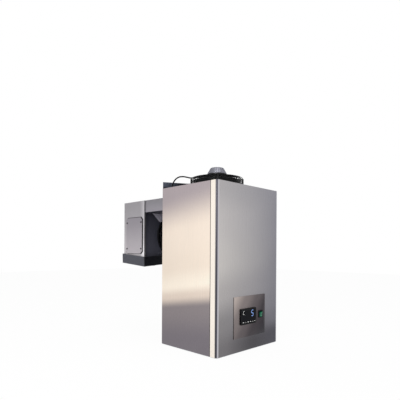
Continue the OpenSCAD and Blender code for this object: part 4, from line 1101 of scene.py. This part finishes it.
rear_screw_x = 0.1925
rear_screw_y = 0.005
rear_screw_heights = (0.0603, 0.2345, 0.402, 0.5427)
access_centre = Vector((-0.19, 0.232, 0.473))
access_apart = (0.0565, 0.062)
tray_turn = turned(-4.5, "Y") @ turned(4.5, "X")
tray_corner = Vector((-0.191, 0.145, 0.328))
tray_w = 0.3857
tray_d = 0.178
tray_screw_z = 0.039
front_inset = 0.014
back_inset = 0.028

rear_places = []
access_places = []
for side in (-1, 1):
    for height in rear_screw_heights:
        rear_places.append(((side * rear_screw_x, rear_screw_y, height), (0, 1, 0)))
    for level in (-1, 1):
        offset = Vector((0, side * access_apart[0], level * access_apart[1]))
        access_places.append((access_centre + offset, (-1, 0, 0)))
guard_screw = Vector((leg_r + foot_out, 0, deck_z + foot_t))
guard_places = [(turn @ guard_screw + fan_axis, (0, 0, 1)) for turn in leg_turns]
tray_places = []
for inset, y, face in ((front_inset, 0, -1), (back_inset, tray_d, 1)):
    for x in (inset, tray_w - inset):
        place = tray_corner + tray_turn @ Vector((x, y, tray_screw_z))
        tray_places.append((place, tray_turn @ Vector((0, face, 0))))
make_screws("rear_screws", screw_steel, rear_places)
make_screws("guard_screws", screw_steel, guard_places)
make_screws("access_screws", dark_screw, access_places)
make_screws("tray_screws", dark_screw, tray_places)


# Evaporator: fan guard, cover outline of painted shade and plate clips

evap_guard_centre = Vector((0, 0.16, 0.474))
evap_wire = 0.003
evap_rings = 6
evap_ring_r = 0.026
evap_ring_pitch = 0.0126
evap_bars = 8
evap_bar_d = 0.0026
evap_bar_y = 0.0018
evap_bar_radii = (0.023, 0.06, 0.0975)


def make_evap_guard():
    """Round wire rings on eight straight bars in front of the evaporator fan."""
    bm = bmesh.new()
    for i in range(evap_rings):
        ring(bm, evap_ring_r + i * evap_ring_pitch, 0, evap_wire, evap_guard_centre, (0, 1, 0),
             sides=8, steps=72)
    for turn in evenly(evap_bars, "Y"):
        path = [turn @ Vector((r, evap_bar_y, 0)) + evap_guard_centre for r in evap_bar_radii]
        swept(bm, path, evap_bar_d)
    finish_piece("evap_guard_wires", bm, black_wire, replaced=["evap_guard"])


cover_cut = 0.0125
outline_front = 0.0016
outline_out = 0.0022
# The lip widens the ring at the cover's front edge into painted shade.
outline_shade_lip = 0.0026
outline_under = -0.003


def make_access_shadow_outline():
    """Thin black ring round the access cover: its seam with painted shade in it, widest at its front edge.
    """
    low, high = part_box("evap_access_cover")
    front = low.x + outline_front
    loops = []
    bm = bmesh.new()
    for x, out, lip in ((high.x, outline_out, outline_shade_lip), (front, outline_out, outline_shade_lip),
                        (front, outline_under, 0), (high.x, outline_under, 0)):
        y0, y1, z0, z1 = low.y - out - lip, high.y + out, low.z - out, high.z + out
        outline = [(y0 + cover_cut, z0), (y1 - cover_cut, z0), (y1, z0 + cover_cut), (y1, z1 - cover_cut),
                   (y1 - cover_cut, z1), (y0 + cover_cut, z1), (y0, z1 - cover_cut), (y0, z0 + cover_cut)]
        loops.append([bm.verts.new((x, y, z)) for y, z in outline])
    for one, other in zip(loops, loops[1:] + loops[:1]):
        for i in range(8):
            bm.faces.new((one[i - 1], one[i], other[i], other[i - 1]))
    finish_piece("access_shadow_outline", bm, rubber)


clip_x = 0.086
clip_low = Vector((-0.007, 0.1632, 0.388))
clip_high = Vector((0.007, 0.165, 0.3912))
clip_ease = 0.0004


def make_plate_clips():
    """Two small bright clips at the fan plate's lower edge."""
    bm = bmesh.new()
    for side in (-1, 1):
        offset = Vector((side * clip_x, 0, 0))
        block(bm, clip_low + offset, clip_high + offset, clip_ease)
    finish_piece("plate_clips", bm, clip_steel)


make_evap_guard()
make_access_shadow_outline()
make_plate_clips()


# Floor and light

def seen_directly(tree):
    """1 for rays that show the background: from the camera, a reflection or through glass."""
    path = add(tree, "LightPath")
    either = combine(tree, "MAXIMUM", path.outputs["Is Camera Ray"], path.outputs["Is Glossy Ray"])
    return combine(tree, "MAXIMUM", either, path.outputs["Is Transmission Ray"])


def make_world(level):
    """White to the eye and in reflections, and a plain even light on everything else."""
    world = bpy.data.worlds.new("studio")
    world.use_nodes = True
    tree = world.node_tree
    lit = tree.nodes["Background"]
    lit.inputs["Strength"].default_value = level
    shown = add(tree, "Background")
    mix = add(tree, "MixShader")
    feed(tree, seen_directly(tree), mix.inputs["Fac"])
    feed(tree, lit.outputs[0], mix.inputs[1])
    feed(tree, shown.outputs[0], mix.inputs[2])
    for shader in (lit, shown):
        shader.inputs["Color"].default_value = (1, 1, 1, 1)
    feed(tree, mix.outputs[0], tree.nodes["World Output"].inputs["Surface"])
    scene.world = world


floor_size = 6
floor_grey = 0.9


def make_floor(glow):
    """A white floor that keeps a soft shadow."""
    bm = bmesh.new()
    bmesh.ops.create_grid(bm, x_segments=1, y_segments=1, size=floor_size)
    mesh = bpy.data.meshes.new("floor")
    bm.to_mesh(mesh)
    floor = bpy.data.objects.new("floor", mesh)
    scene.collection.objects.link(floor)
    material = bpy.data.materials.new("floor")
    material.use_nodes = True
    tree = material.node_tree
    paint = tree.nodes["Principled BSDF"]
    paint.inputs["Base Color"].default_value = (floor_grey, floor_grey, floor_grey, 1)
    paint.inputs["Roughness"].default_value = 0.9
    white = add(tree, "Emission")
    mix = add(tree, "MixShader")
    feed(tree, combine(tree, "MULTIPLY", seen_directly(tree), glow), mix.inputs["Fac"])
    feed(tree, paint.outputs[0], mix.inputs[1])
    feed(tree, white.outputs[0], mix.inputs[2])
    feed(tree, mix.outputs[0], tree.nodes["Material Output"].inputs["Surface"])
    mesh.materials.append(material)


def make_lamp(name, place, target, size, power):
    """A soft square lamp that faces a point."""
    data = bpy.data.lights.new(name, "AREA")
    data.size = size
    data.energy = power
    lamp = bpy.data.objects.new(name, data)
    lamp.location = place
    lamp.rotation_euler = (Vector(target) - Vector(place)).to_track_quat("-Z", "Y").to_euler()
    scene.collection.objects.link(lamp)


make_world(level=0.62)
make_floor(glow=0.95)
make_lamp("key", place=(-2.4, -1.1, 1.2), target=(0, 0, 0.4), size=1.4, power=26)
make_lamp("top", place=(-0.6, -0.8, 2.8), target=(0, 0, 0.5), size=1.8, power=22)
scene.view_settings.view_transform = "Standard"


# Last update of the scene

bpy.context.view_layer.update()
